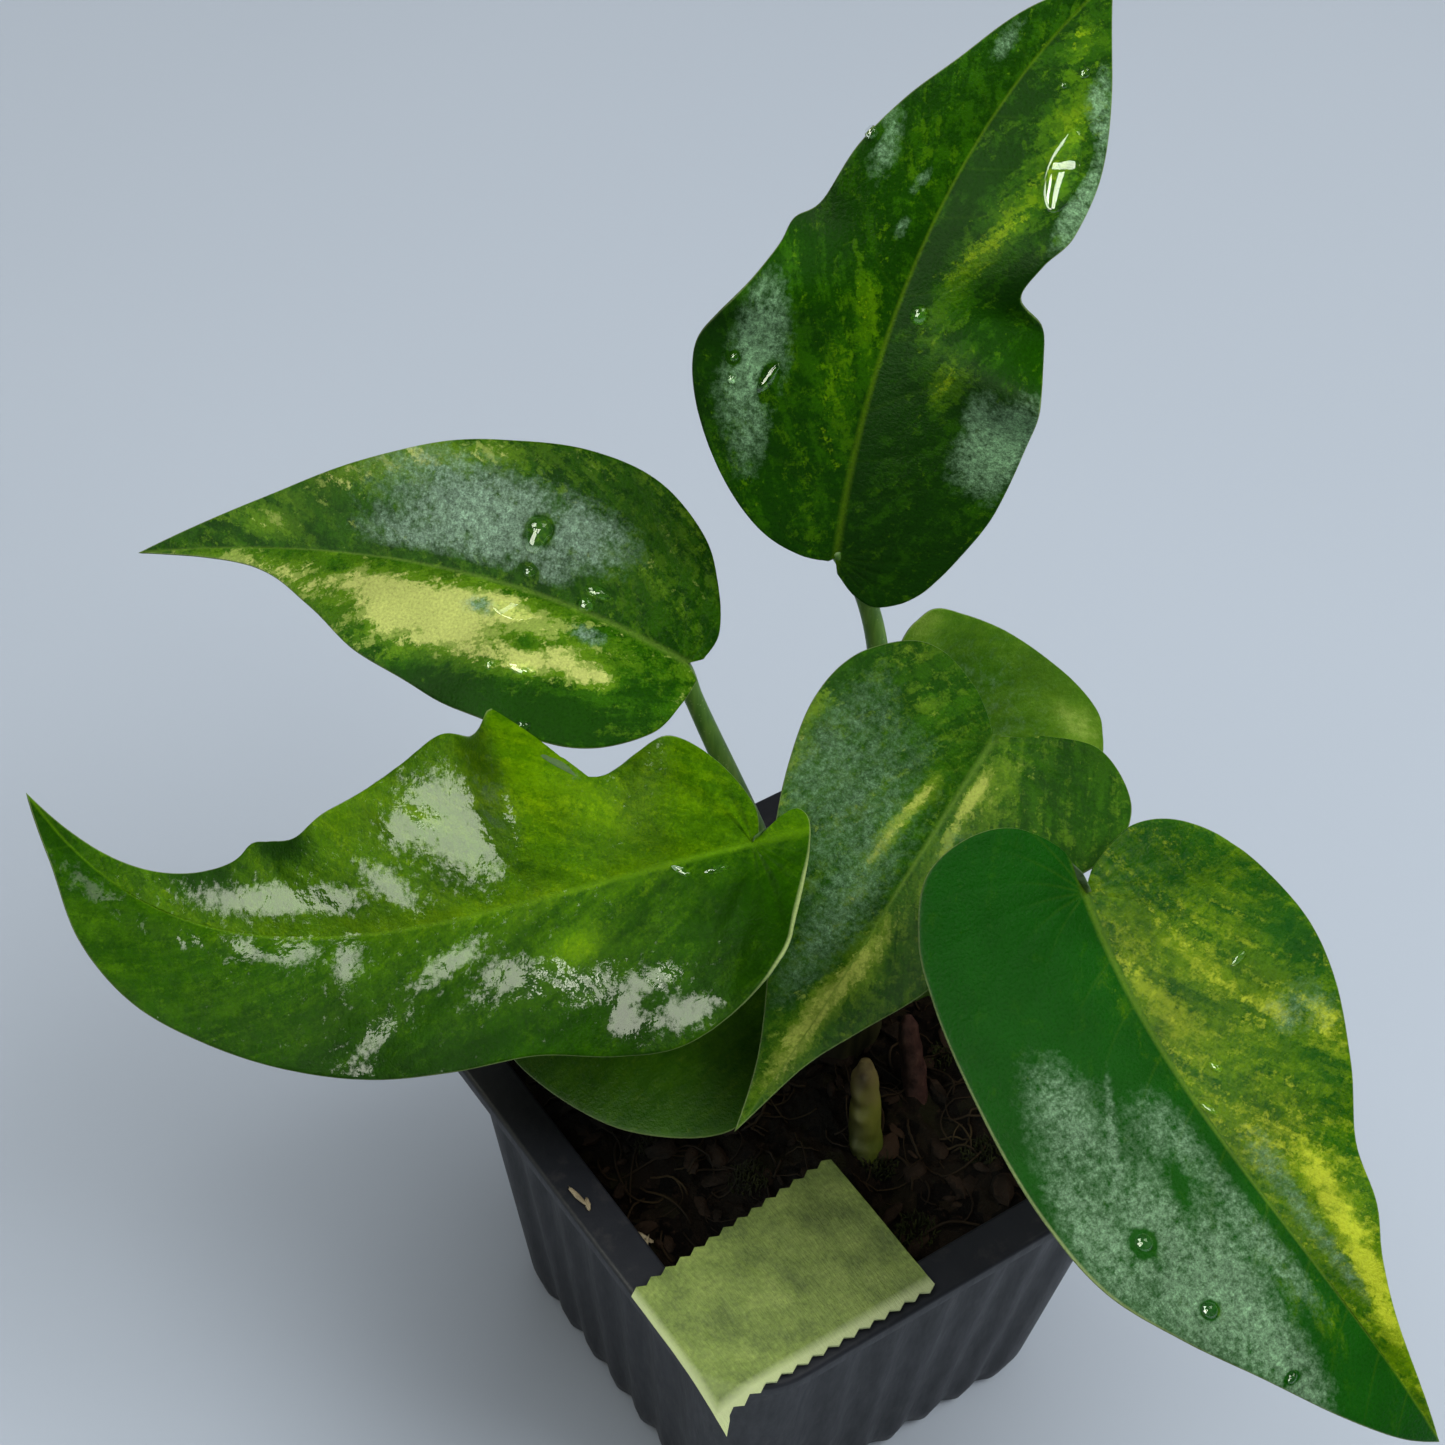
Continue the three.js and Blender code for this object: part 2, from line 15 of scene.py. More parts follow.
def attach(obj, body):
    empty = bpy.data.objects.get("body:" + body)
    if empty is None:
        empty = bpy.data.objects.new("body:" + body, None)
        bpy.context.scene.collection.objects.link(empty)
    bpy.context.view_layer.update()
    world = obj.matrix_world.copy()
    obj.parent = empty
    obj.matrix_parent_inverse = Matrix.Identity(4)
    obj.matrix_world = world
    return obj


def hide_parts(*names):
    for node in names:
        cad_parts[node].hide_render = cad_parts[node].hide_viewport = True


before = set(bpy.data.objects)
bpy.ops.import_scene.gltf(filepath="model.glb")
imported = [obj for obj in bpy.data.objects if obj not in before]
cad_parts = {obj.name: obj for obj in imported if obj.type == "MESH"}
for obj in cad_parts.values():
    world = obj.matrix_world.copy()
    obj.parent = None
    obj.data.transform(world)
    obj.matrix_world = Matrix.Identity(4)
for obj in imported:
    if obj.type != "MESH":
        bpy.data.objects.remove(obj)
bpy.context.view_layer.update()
chance = random.Random(11)

MM = 0.001

# Pot
POT_HEIGHT = 58
RIM_HALF_WIDTH = 37.5
WALL_TOP_HALF_WIDTH = 33.4
WALL_FOOT_HALF_WIDTH = 27.2
FOOT_ROUND_HALF_WIDTH = 26.4
BASE_HALF_WIDTH = 24.8
MOUTH_HALF_WIDTH = 32
FLOOR_HALF_WIDTH = 24.2
RIM_DEPTH = 2.6
RIM_ROUNDING = 0.6
FOOT_HEIGHT = 4.5
FOOT_ROUND_HEIGHT = 1.5
FLOOR_THICKNESS = 1.6
RIM_CORNER_RADIUS = 11
WALL_CORNER_RADIUS = 9
MOUTH_CORNER_RADIUS = 7.5
FLUTES_PER_SIDE = 6
FLUTE_DEPTH = 0.7
FOOT_FLUTE_DEPTH = 1
SIDE_STEPS = 72
CORNER_STEPS = 14
WALL_STEPS = 24
RIM_EDGE_STEPS = 6

# Soil
FIT_GAP = 0.3
SOIL_DEPTH_BELOW_RIM = 6.5
SOIL_LEVEL = POT_HEIGHT - SOIL_DEPTH_BELOW_RIM
SOIL_RINGS = 90
# The surface's waves as (turn per millimetre in X and in Y, start, height), lumps as (height, scale, seed)
SOIL_WAVES = [(0.21, 0.17, 0.4, 0.4), (0.21, -0.17, 1.2, 0.4), (0.55, -0.3, 0, 0.4), (0.35, 0.47, 2.57, 0.32)]
SOIL_LUMPS = [(1.3, 0.33, 3), (0.9, 0.9, 4), (0.5, 2.3, 5)]
BARK_COUNT = 190
FIBRE_COUNT = 260
FIBRE_STEPS = 9
FIBRE_SIDES = 5
MOSS_THREADS_PER_MM = 60
MOSS_RADII = (0.12, 0.14, 0.1, 0.03)
MOSS_STOPS = (0, 0.35, 0.7, 1)

# Plant
PLANT_TURN = math.radians(-37.5)
BLADE_COLUMNS = 230
BLADE_ROWS = 34
VEIN_LEAN = 0.6
WAVE_REACH_LIMIT = 1.5
BLADE_ARCH = 0.02
BLADE_HALF_THICKNESS = 0.25
MARGIN_HALF_THICKNESS = 0.07
MARGIN_ROUNDING = 0.7
# The midrib stands out below by these depths and half widths, at the tip and at the base
RIB_DEPTHS = (0.3, 1.2)
RIB_HALF_WIDTHS = (0.4, 1.2)
RIB_MARGIN_FADE = 1.5
RIDGE_HEIGHT = 0.03
RIDGE_HALF_WIDTH = 0.4
VEIN_PAIRS = 11
VEIN_SLOPE = 0.5
VEIN_CURVE = 0.02
VEIN_WANDER = 0.5
BASAL_VEIN_ANGLE = math.radians(19)
GROOVE_DEPTH = 0.05
GROOVE_HALF_WIDTH = 0.45
RELIEF_MARGIN_FADE = 4
RELIEF_RIB_FADE = 2.5
PETIOLE_SIDES = 28
PETIOLE_STEPS = 60
PETIOLE_FOOT_RADIUS = 1.7
PETIOLE_TOP_RADIUS = 1.05
PETIOLE_END_BELOW_BLADE = 0.6
PETIOLE_END_PAST_BASE = 0.8
# Swellings of a petiole: where along it and how far they spread, as shares of its length, and their height
PETIOLE_SWELLINGS = [(0, 0.06, 0.45), (0.95, 0.045, 0.22)]
CROWN_PLACE = (3, 9.5)
CROWN_SIDES = 64
# The crown's (height, radius), from its foot in the soil up
CROWN_PROFILE = [
    (-15, 5.3), (-11, 5.8), (-6.5, 6.5), (-4.5, 6.5), (-2.5, 6.3), (-1, 6.2), (0.5, 5.9), (2, 5.3), (3, 4.4),
    (3.4, 3),
]

# Each leaf: its midrib as four Bezier points, the way its face looks at base and tip, how steeply each half
# rises from the midrib (radians, base and tip), how much it arches over on the way out where that isn't
# BLADE_ARCH (radians per millimetre), and each half's flat outline from the basal lobe to the tip as
# (distance from midrib, distance along midrib).
# Left is the left hand going from base to tip. A wave lifts the margin around one distance along the midrib:
# (hand, at, span, lift, reach). The petiole is its root in the crown and the middle points of its curve.
LEAVES = {
    "upright_leaf": {
        "midrib": [(-2, 17, 69.5), (-1.5, 19, 93.5), (4.5, 33.5, 116), (22, 48, 126.5)],
        "facing": [(0.05, -0.75, 0.55), (0, -0.62, 0.78)],
        "rise": (0.4, 0.25),
        "left": [
            (1, -0.5), (4.5, 1), (9.5, 4.5), (15, 10.5), (18.5, 16.5), (20, 22), (18.5, 26), (16, 30),
            (14.5, 33), (14, 35.5), (12, 38), (11, 44), (9, 50), (6.5, 56), (4, 64),
        ],
        "right": [
            (0.5, -2.5), (3, -5), (6, -5.5), (10.5, -2), (15, 6.5), (17, 13), (18, 22.5), (17, 30),
            (15.5, 34.5), (12, 37), (12.5, 41.5), (14, 46.5), (13, 54.5), (8.5, 63),
        ],
        "waves": [
            (1, 29, 4, 2.5, 14), (1, 36, 4, -1.5, 11), (-1, 27, 4, 2.5, 14), (-1, 34, 3.5, -2.5, 12),
            (-1, 43, 5, 1.5, 12), (1, 12, 6, -1.5, 15),
        ],
        "petiole": [(3, 9.7, 0.5), (7, 17, 32), (7, 19, 57)],
    },
    "rear_left_leaf": {
        "midrib": [(-18, 14, 53.5), (-38.5, 19, 63), (-61.5, 29, 55), (-83.5, 26, 53)],
        "facing": [(0.05, -0.45, 0.9), (0.1, -0.5, 0.85)],
        "rise": (0.4, 0.3),
        "left": [
            (1.5, -2), (5.5, -1.5), (10.5, 0), (15.5, 5), (17.5, 11.5), (17, 22), (15, 30), (12.5, 38),
            (7.5, 45.5), (2.5, 54),
        ],
        "right": [
            (1.5, -1.5), (5, -1.5), (10, 1.5), (14, 5), (17.5, 11.5), (18, 19), (16.5, 27), (15, 32.5),
            (12, 39), (9.5, 45.5), (6.5, 52), (4, 58),
        ],
        "waves": [(1, 28, 6, -1.5, 14), (-1, 40, 6, 1.2, 12)],
        "petiole": [(-0.8, 11.7, 0.5), (-5.5, 17.5, 18), (-14, 15.5, 36.5)],
    },
    "front_left_leaf": {
        "midrib": [(-9, -7, 47), (-36.5, -16.5, 45.5), (-72, -15, 12.5), (-93, 0, 38.5)],
        "facing": [(0, -0.5, 0.85), (0.25, -0.5, 0.8)],
        "rise": (0.35, 0.3),
        "left": [
            (-1.6, -2.5), (-3, -4.7), (-3.2, -6.4), (-1.3, -7.1), (2.4, -6), (6, -4.2), (10, -1.8),
            (14.8, 1.4), (18.3, 6), (20.5, 13), (19.5, 20.5), (17.5, 28), (17.5, 36), (17, 45), (15.5, 54),
            (13.5, 62.5), (11.5, 70), (8, 77.5), (3.5, 84.5),
        ],
        "right": [
            (1, -1), (4.5, -1), (10, 2), (13.5, 6), (13, 10), (12, 15), (14.5, 19.5), (18.5, 22), (21, 23),
            (19.5, 25), (19.5, 27.5), (21, 32), (18.5, 38.5), (14.5, 48.5), (11.5, 54), (11, 59), (10.5, 62),
            (8, 64.5), (5, 71), (2.5, 79.5),
        ],
        "waves": [
            (-1, 6, 4, 2.5, 14), (-1, 14, 4, -2.5, 13), (-1, 24, 3.5, 5.2, 18), (-1, 52, 5, 2, 13),
            (1, -2, 7, 4, 11), (1, 20, 7, -2, 18), (1, 36, 7, 1.5, 17), (1, 52, 8, -1.5, 16),
        ],
        "petiole": [(-0.8, 7.3, 0.5), (-3.5, 10, 18), (-4.5, 1, 38)],
    },
    "centre_leaf": {
        "midrib": [(17.5, 7.5, 50.5), (8.5, -6.5, 43), (1.5, -15, 28.5), (-8.5, -26, 18.5)],
        "facing": [(-0.1, -0.6, 0.8), (-0.2, -0.75, 0.65)],
        "rise": (0.4, 0.3),
        "left": [
            (0.5, -1.5), (3, -2.5), (5.5, -4), (11.5, -5.5), (17.5, -2), (19, 3.5), (17, 8), (14.5, 12.5),
            (11.5, 19.5), (9, 28), (5, 36), (2, 43),
        ],
        "right": [
            (1, -1.5), (3, -3), (6, -4.5), (11, -5.5), (15, -4), (19, 1), (20, 7), (18.5, 14),
            (16, 20.5), (12, 28), (7, 37), (3, 45),
        ],
        "waves": [(-1, 26, 6, 1.5, 14), (1, 10, 6, 1.5, 16)],
        "petiole": [(7, 11.4, 0.5), (14, 16, 22), (19.5, 13, 44)],
    },
    "front_right_leaf": {
        "midrib": [(28, -12, 48.5), (37.5, -29, 34.5), (55, -51, 37), (69.5, -58, 16)],
        "facing": [(0.1, -0.6, 0.8), (0.3, -0.65, 0.7)],
        "rise": (0.4, 0.3),
        "left": [
            (1, -1.5), (2.5, -3), (7.5, -5.5), (13, -4), (18, 1.5), (21, 12), (20, 22.5), (16.5, 31.5),
            (12, 39), (9.5, 45.5), (6, 51), (3, 58.5),
        ],
        "right": [
            (0.5, -2), (1, -5.5), (6, -9.5), (12, -10), (17.5, -7.5), (20.5, -1.5), (21.5, 5), (22, 15),
            (22.5, 28), (21.5, 36.5), (17.5, 44.5), (13, 52), (8.5, 60), (4, 67),
        ],
        "waves": [(1, 41, 5, -1.5, 12), (1, 20, 8, 1, 18), (-1, 34, 9, 1.5, 20)],
        "petiole": [(6.6, 7, 0.5), (15, 3, 12), (26, -5, 32)],
    },
    "rear_right_leaf": {
        "midrib": [(7.5, 30, 35), (15.5, 30, 26), (28, 25, 23.5), (33, 24.5, 12.5)],
        "facing": [(0.1, -0.55, 0.85), (0.2, -0.6, 0.75)],
        "rise": (0.35, 0.3),
        "left": [
            (1, -1.5), (4.5, -4), (8, -4.5), (11.5, -2.5), (14.5, 7), (15, 16.5), (14, 22.5), (12, 25),
            (9.5, 27), (5.5, 30),
        ],
        "right": [(1, -1.5), (5.5, -3.5), (10, 0.5), (11.5, 8), (11, 16.5), (9, 24.5), (5, 31)],
        "waves": [],
        "petiole": [(3.4, 13.9, 0.5), (3, 22, 12), (5, 31, 26)],
    },
    "low_leaf": {
        "midrib": [(-1.5, 1, 13.5), (-12.5, -5.5, 19.5), (-26.5, -5.5, 13.5), (-38, -7, 9)],
        "facing": [(0, -0.35, 0.95), (0, -0.4, 0.9)],
        "rise": (0.3, 0.25),
        "arch": 0.015,
        "left": [
            (1, -1), (4, -0.5), (8.5, 2.5), (13, 6.5), (16.5, 10), (18.8, 13.5), (18.5, 18.5), (16, 25),
            (11.5, 31), (5.5, 36.5),
        ],
        "right": [(1, -1), (3, -1), (5, 2.5), (7, 7.5), (8, 13), (7.5, 21), (6, 29), (3, 35)],
        "waves": [],
        "petiole": [(3, 5.1, -0.5), (2, 3, 4), (1.5, 2, 8)],
    },
}

# How each leaf looks.
# patches: where the tissue is paler or darker around a flat place, as (across, along, reach across, reach
# along, lean, amount); a few of the darker ones are painted shade where a margin curls or folds over. Across
# is negative on the left half, and lean is how far a patch drifts across for each millimetre along. ground:
# how pale the left and right halves are before that.
# The patches for the grey zones, where a reflected sheen is painted into the colour, for the zones with a
# glossy coat and for a wider pale line along the margin, in part a painted highlight, all have this same
# form.
# grain: strength of the fine light and dark specks. pucker and crinkle: height in millimetres of the
# swellings between the veins and of the finer unevenness. mottle: how ragged the marbling is. softness: how
# softly its layers end.
# colors: tissue from the darkest to the palest. The sheen colour is that of the grey zones' painted sheen.
# rib: colour of the midrib.
# roughness and specular are those of the skin, coat and coat_roughness those of the glossy coat.
# A leaf that leaves one of them out takes the default.
LOOK_DEFAULTS = {
    "painted_sheen": [],
    "shine": [],
    "edges": [],
    "grain": 0.15,
    "pucker": 0.03,
    "crinkle": 0.04,
    "mottle": 1.0,
    "satin": (0.13, 0.2, 0.12),
    "roughness": 0.34,
    "coat": 0.0,
    "coat_roughness": 0.2,
    "specular": 0.1,
}
LOOKS = {
    "upright_leaf": {
        "slot": "leaf_dark_green",
        "ground": (0.16, 0.14),
        "patches": [
            (5.5, 37.5, 1.8, 6, 0.33, 0.46), (7.5, 46, 2.2, 6, 0.3, 0.34), (7, 57, 2.4, 6, 0, 0.45),
            (2.8, 65, 2, 4, 0, 0.4), (10, 52, 2, 5, 0, 0.2), (7.6, 25, 1.5, 3.2, 0.2, 0.5),
            (5, 29, 2.5, 4, 0, 0.18), (-3.2, 30, 1.6, 4, -0.2, 0.24), (-4, 24, 2, 6, -0.2, 0.2),
            (-4.5, 14, 2, 6, -0.1, 0.1), (2, 40, 1.2, 9, 0.1, -0.22), (3.5, 52, 1.8, 8, 0.1, -0.15),
            # The darkening at (13.5, 32.3) is painted shade in the fold at the right notch.
            (13.5, 32.3, 2.5, 2.5, 0, -0.12), (1.3, 18, 1.2, 12, 0, -0.14), (-16, 12, 4, 6, 0, 0.1),
        ],
        "painted_sheen": [
            (-14, 26, 2.2, 4, 0, 1.3), (-13.4, 20.5, 2.8, 4.5, 0.2, 1.3), (-12, 14, 2, 4, 0, 0.8),
            (11.9, 23.4, 1.5, 2.5, 0, 1.1), (14.5, 20, 2.6, 5, 0.3, 2.4), (16.3, 21, 1.4, 4, 0, 1.8),
            (15.5, 14.5, 1.5, 3, 0, 0.6), (12.4, 48, 2, 4, -0.2, 1.1), (12, 53, 2, 4, -0.3, 1.1),
            (10.3, 58.5, 1.8, 3, -0.4, 1), (7.5, 62, 1.3, 2.5, -0.4, 0.8), (-8.5, 45.5, 1.6, 3.5, -0.2, 0.8),
            (-3.3, 43.8, 0.6, 1.5, 0.2, 0.8), (-3, 38.8, 0.7, 1.2, 0, 0.7), (-3.6, 60, 1, 2.5, 0, 0.7),
        ],
        "grain": 0.3,
        "pucker": 0.035,
        "crinkle": 0.05,
        "mottle": 1.2,
        "softness": 1.1,
        "colors": [(0.007, 0.045, 0.0002), (0.02, 0.09, 0.0003), (0.07, 0.18, 0.0006), (0.21, 0.34, 0.003)],
        "satin": (0.16, 0.29, 0.14),
        "rib": (0.1, 0.2, 0.004),
        "roughness": 0.3,
        "specular": 0.045,
    },
    "rear_left_leaf": {
        "slot": "leaf_cream_and_green",
        "ground": (0.38, 0.27),
        "patches": [
            (-5.9, 32.3, 3.4, 6, 0, 0.5), (-7.8, 35.5, 1.8, 2.5, 0, 0.25), (-7.5, 26, 2.2, 3, 0, 0.5),
            (-3.4, 22, 1.8, 5, 0, 0.6), (-3.8, 38.5, 1.8, 4.5, 0, 0.5), (-5, 28, 2.5, 4, 0, 0.2),
            (-9.2, 16.5, 1.3, 2.8, 0, 0.55), (-7.8, 11.5, 1.3, 3, 0.2, 0.6), (-7, 8.3, 1, 1.8, 0.2, 0.45),
            (-7.1, 17.4, 1.1, 2.2, 0, -0.3), (-3.9, 24.4, 0.9, 1.2, 0, -0.45), (-2.7, 11.5, 1, 2, 0, -0.15),
            (-2.4, 43.5, 1, 2, 0, -0.3), (-2.7, 52.8, 1.5, 5, 0, 0.25), (-1.5, 58, 1, 4, 0, 0.25),
            (-15, 20, 2.6, 14, 0, -0.42), (-13, 9, 3, 5, 0, -0.3), (-6, 3, 6, 3, 0, -0.2),
            (10, 42, 3, 9, -0.25, 0.3), (14, 30, 1.8, 8, -0.2, 0.25), (3.4, 51.3, 1.5, 3, 0, 0.34),
            (-9, 26, 3, 10, 0, 0.24), (-6, 15, 3, 6, 0, 0.18), (-5, 46, 3, 6, 0, 0.22),
            (-16.5, 22, 1, 14, 0, -0.2), (8, 8, 5, 5, 0, 0.12),
        ],
        "painted_sheen": [
            (5.5, 26, 3.4, 9, 0, 1.35), (8.5, 17, 3, 6, 0, 0.95), (9, 27, 3, 7, 0, 0.7),
            (3, 37, 1.5, 5, 0, 0.65), (7.2, 26.2, 1, 1, 0, -1), (4.5, 28.5, 0.8, 0.8, 0, -0.8),
            (3.2, 23.5, 0.6, 0.6, 0, -0.8), (10.5, 20, 1.2, 1.2, 0, -0.6), (2.5, 21.5, 0.6, 0.6, 0, -0.7),
            (2.7, 18.5, 1.2, 3, 0, 0.5), (12, 35, 2.5, 6, 0, 0.3), (0.3, 28, 0.8, 14, 0, -1),
            (9, 30, 6, 15, 0, 0.35), (-4, 24.6, 1.3, 2, 0, 0.9), (-2.9, 11.5, 1.2, 2.4, 0, 0.8),
        ],
        "edges": [(0, 0, 9, 20, 0, 0.1)],
        "grain": 0.35,
        "pucker": 0.015,
        "softness": 1.0,
        "colors": [(0.008, 0.048, 0.0004), (0.023, 0.095, 0.0006), (0.09, 0.195, 0.005), (0.47, 0.51, 0.13)],
        "satin": (0.18, 0.275, 0.18),
        "rib": (0.12, 0.22, 0.02),
        "roughness": 0.3,
        "specular": 0.045,
    },
    "front_left_leaf": {
        "slot": "leaf_bright_green",
        "ground": (0.3, 0.46),
        "patches": [
            (12, 30, 7, 16, 0, 0.16), (8, 12, 6, 6, 0, 0.12), (12, 50, 4, 7, -0.1, 0.14),
            (-7, 21.5, 1.8, 3.5, -0.1, 0.4), (-4, 35, 3, 14, 0, 0.1), (-16, 40, 2.5, 30, 0, -0.2),
            # The darkening at (0, 86), (6, 69) and (10.6, 56) is painted shade where the tip and the right
            # margin curl over.
            (-8, 2, 7, 6, 0, -0.22), (0, 86, 3, 7, 0, -0.25), (6, 69, 2.5, 5, 0, -0.45),
            (10.6, 56, 2, 5, 0, -0.45), (0, 35, 2.2, 34, 0, 0.18),
        ],
        "shine": [
            (11, 31, 5.2, 6.25, 0, 0.96), (13.5, 36, 3.9, 4.38, 0, 0.72), (6.5, 30, 3.9, 3.75, 0, 0.6),
            (9.5, 25, 2.6, 3.12, 0, 0.6), (11, 40, 1.95, 2.5, 0, 0.6), (5.2, 42, 1.95, 3.5, 0.7, 0.96),
            (3.6, 63, 1.69, 7.5, -0.1, 0.84),
            (4.6, 55, 1.69, 6.25, 0, 0.96), (4.2, 49, 1.56, 3.12, 0, 0.72), (-2.4, 77, 1.17, 6.25, 0, 0.96),
            (-2.2, 70, 1.3, 5.62, 0, 1.08), (-2, 61, 1.56, 2.25, 0, 1.08), (-1.8, 55, 1.82, 3, 0, 1.08),
            (-3, 48, 3.38, 1.75, 0, 0.96), (-5.2, 36, 1.56, 4, -0.38, 1.08),
            (-10.3, 32.3, 1.3, 1.88, 0, 0.72), (-7.5, 30, 1.82, 2.5, 0, 0.96), (-9, 27, 1.95, 2.75, 0, 0.96),
            (-9.4, 24, 1.82, 2.5, 0, 0.96), (-11.7, 20.8, 1.95, 2.5, -0.3, 1.08),
            (-14, 18.2, 1.95, 2.38, -0.6, 1.08), (-16.8, 17.8, 1.56, 1.75, 0, 0.96),
            (-12.4, 13.4, 1.43, 2.5, 0, 1.08), (-17, 11.5, 1.69, 4, 0, 1.08),
            (-11.8, 44, 1.82, 3.5, -0.25, 0.96), (-15.8, 46, 1.3, 3.12, 0, 0.6),
            (7.6, 5.8, 0.52, 2.38, 1.43, 0.96), (12.2, 12.5, 0.91, 3.75, 0, 0.6),
        ],
        # The strong pale line on the left basal lobe is a painted highlight along its curled-up edge.
        "edges": [(-10, -2, 8, 6, 0, 1.6)],
        "grain": 0.2,
        "pucker": 0.2,
        "crinkle": 0.13,
        "mottle": 0.7,
        "softness": 2.0,
        "colors": [
            (0.009, 0.046, 0.0001), (0.021, 0.085, 0.0002), (0.075, 0.19, 0.0003), (0.19, 0.34, 0.001),
        ],
        "satin": (0.2, 0.3, 0.2),
        "rib": (0.1, 0.23, 0.002),
        "coat": 0.85,
        "coat_roughness": 0.09,
        "specular": 0.03,
    },
    "centre_leaf": {
        "slot": "leaf_satin_green",
        "ground": (0.27, 0.25),
        "patches": [
            (-1.8, 6, 0.8, 3.2, 0, 0.9), (-2, 11, 0.9, 1.8, 0, 0.35), (-2.7, 15.5, 0.8, 3, 0, 0.38),
            (-4, 4, 2, 5, 0, 0.22), (-1.5, 27, 1.5, 6, 0, 0.36), (0, 33, 1.6, 6, 0, 0.4),
            (0.5, 41, 1.8, 7, 0, 0.55), (-12, 4, 7, 8, 0, -0.08), (8.6, 0.8, 2.2, 1.2, 0, 0.22),
            (3.6, 9.5, 0.9, 3.4, 0.15, 0.58), (4.5, 16, 1, 3.6, 0.1, 0.56), (4.1, 24, 0.9, 4, 0, 0.28),
            (9, 14, 1, 5, 0.3, 0.2), (18.7, 12, 1.2, 8, -0.2, 0.25), (-8, 6, 3, 3, 0, 0.1),
        ],
        "painted_sheen": [
            (10, 14, 7, 11, 0, 0.6), (4, 24, 3, 8, 0, 0.65), (16, 11, 2.5, 7, 0, 0.45),
            (5, 33, 2.5, 7, 0, 0.5), (9, 10, 13, 22, 0, 0.16), (-3, 12, 2, 5, 0, 0.3),
            (8.6, 0.8, 3, 2, 0, -0.6), (4, 12, 1, 8, 0.1, -0.25), (14, 3, 3, 3, 0, 0.2),
        ],
        "edges": [(0, 20, 60, 60, 0, 0.1)],
        "grain": 0.3,
        "pucker": 0.02,
        "softness": 1.3,
        "colors": [(0.011, 0.056, 0.0015), (0.026, 0.098, 0.0015), (0.11, 0.205, 0.009), (0.37, 0.43, 0.07)],
        "satin": (0.085, 0.16, 0.074),
        "rib": (0.12, 0.22, 0.02),
        "specular": 0.05,
    },
    "front_right_leaf": {
        "slot": "leaf_green_and_yellow",
        "ground": (0.4, -0.1),
        "patches": [
            (-7.4, 9.5, 1.3, 4, -0.35, 0.22), (-9, 14.5, 1, 3.5, -0.35, 0.3), (-2.6, 18, 1.2, 4.5, 0, 0.22),
            (-2, 10, 1.2, 4, 0, 0.2), (-6, 41, 1.7, 5, 0.1, 0.5), (-4.6, 50, 1.4, 5, 0.15, 0.5),
            (-2.8, 56, 0.9, 3.5, 0.1, 0.45), (-3, 34, 2, 4, 0, 0.2), (-16.5, 25.6, 1.5, 3, 0, 0.3),
            (-12.9, 21.5, 1.5, 2, 0, 0.3), (-19, 12, 2.5, 10, 0, -0.25), (-14, 34, 3, 6, 0, -0.1),
            (1.6, 13, 1.4, 6, 0, 0.33), (1, 24, 1, 4, 0, 0.2), (3.5, 47, 2.5, 8, 0, 0.28),
            (10, 45, 5, 8, 0, 0.12), (-10, -3, 10, 8, 0, -0.14),
        ],
        "painted_sheen": [
            (14, 21, 4, 6.5, 0, 1), (5.5, 27, 3, 5, 0, 0.75), (13, 33, 5, 6, 0, 0.85), (19, 29, 2, 6, 0, 0.6),
            (8, 41, 4, 6, 0, 0.8), (9.8, 48, 3, 5, 0, 0.7), (10, 23, 0.35, 4.5, 0.57, 0.9),
            (14, 43, 4, 6, 0, 1.3), (10, 54, 3, 5, 0, 1.2), (20, 36, 3, 8, 0, 0.6), (3.5, 36, 1.6, 8, 0, 0.6),
            (3, 46, 1.5, 6, 0, 0.6), (-2.5, 42, 1.3, 6, 0, 0.6), (-2.2, 50, 1, 4, 0, 0.5),
            (-17, 24, 2.5, 5, 0, 0.4), (8, 33, 1, 5, 0.4, -0.5), (14, 38, 1, 3, -0.5, -0.5),
            (3, -3, 8, 3, 0, 0.15), (-2.9, 34.4, 2, 4, 0, 0.5), (-13, 23, 2.5, 3, 0, 0.5),
        ],
        "edges": [(21, 28, 5, 20, 0, 0.8)],
        "pucker": 0.025,
        "crinkle": 0.05,
        "mottle": 1.1,
        "softness": 2.3,
        "colors": [(0.005, 0.06, 0.002), (0.019, 0.09, 0.0004), (0.11, 0.205, 0.0008), (0.45, 0.51, 0.025)],
        "satin": (0.12, 0.21, 0.11),
        "rib": (0.12, 0.22, 0.01),
        "roughness": 0.28,
        "specular": 0.08,
    },
    "rear_right_leaf": {
        "slot": "leaf_mottled_green",
        "ground": (0.36, 0.34),
        "patches": [(-8, -3.5, 3, 2.5, 0, 0.25), (-10.8, 22, 2, 4, 0, 0.3), (-8, 8, 4, 5, 0, -0.12)],
        "painted_sheen": [(0, 10, 20, 20, 0, 0.3)],
        "mottle": 0.4,
        "softness": 2.5,
        "colors": [(0.02, 0.078, 0.001), (0.04, 0.12, 0.003), (0.11, 0.22, 0.012), (0.3, 0.4, 0.07)],
        "rib": (0.12, 0.2, 0.02),
    },
    "low_leaf": {
        "slot": "leaf_plain_green",
        "ground": (0.4, 0.4),
        "patches": [(0, 38, 4, 5, 0, 0.2)],
        "edges": [(0, 20, 60, 60, 0, 0.2)],
        "mottle": 0.6,
        "softness": 2.2,
        "colors": [(0.01, 0.06, 0.0002), (0.02, 0.085, 0.0004), (0.055, 0.15, 0.0008), (0.2, 0.3, 0.02)],
        "rib": (0.06, 0.14, 0.004),
    },
}


def vector_field(mesh, name, values):
    attribute = mesh.attributes.new(name, "FLOAT_VECTOR", "POINT")
    attribute.data.foreach_set("vector", np.asarray(values, np.float32).ravel())


def number_field(mesh, name, values):
    attribute = mesh.attributes.new(name, "FLOAT", "POINT")
    attribute.data.foreach_set("value", np.asarray(values, np.float32))


def add_object(name, data):
    made = bpy.data.objects.new(name, data)
    bpy.context.scene.collection.objects.link(made)
    return made


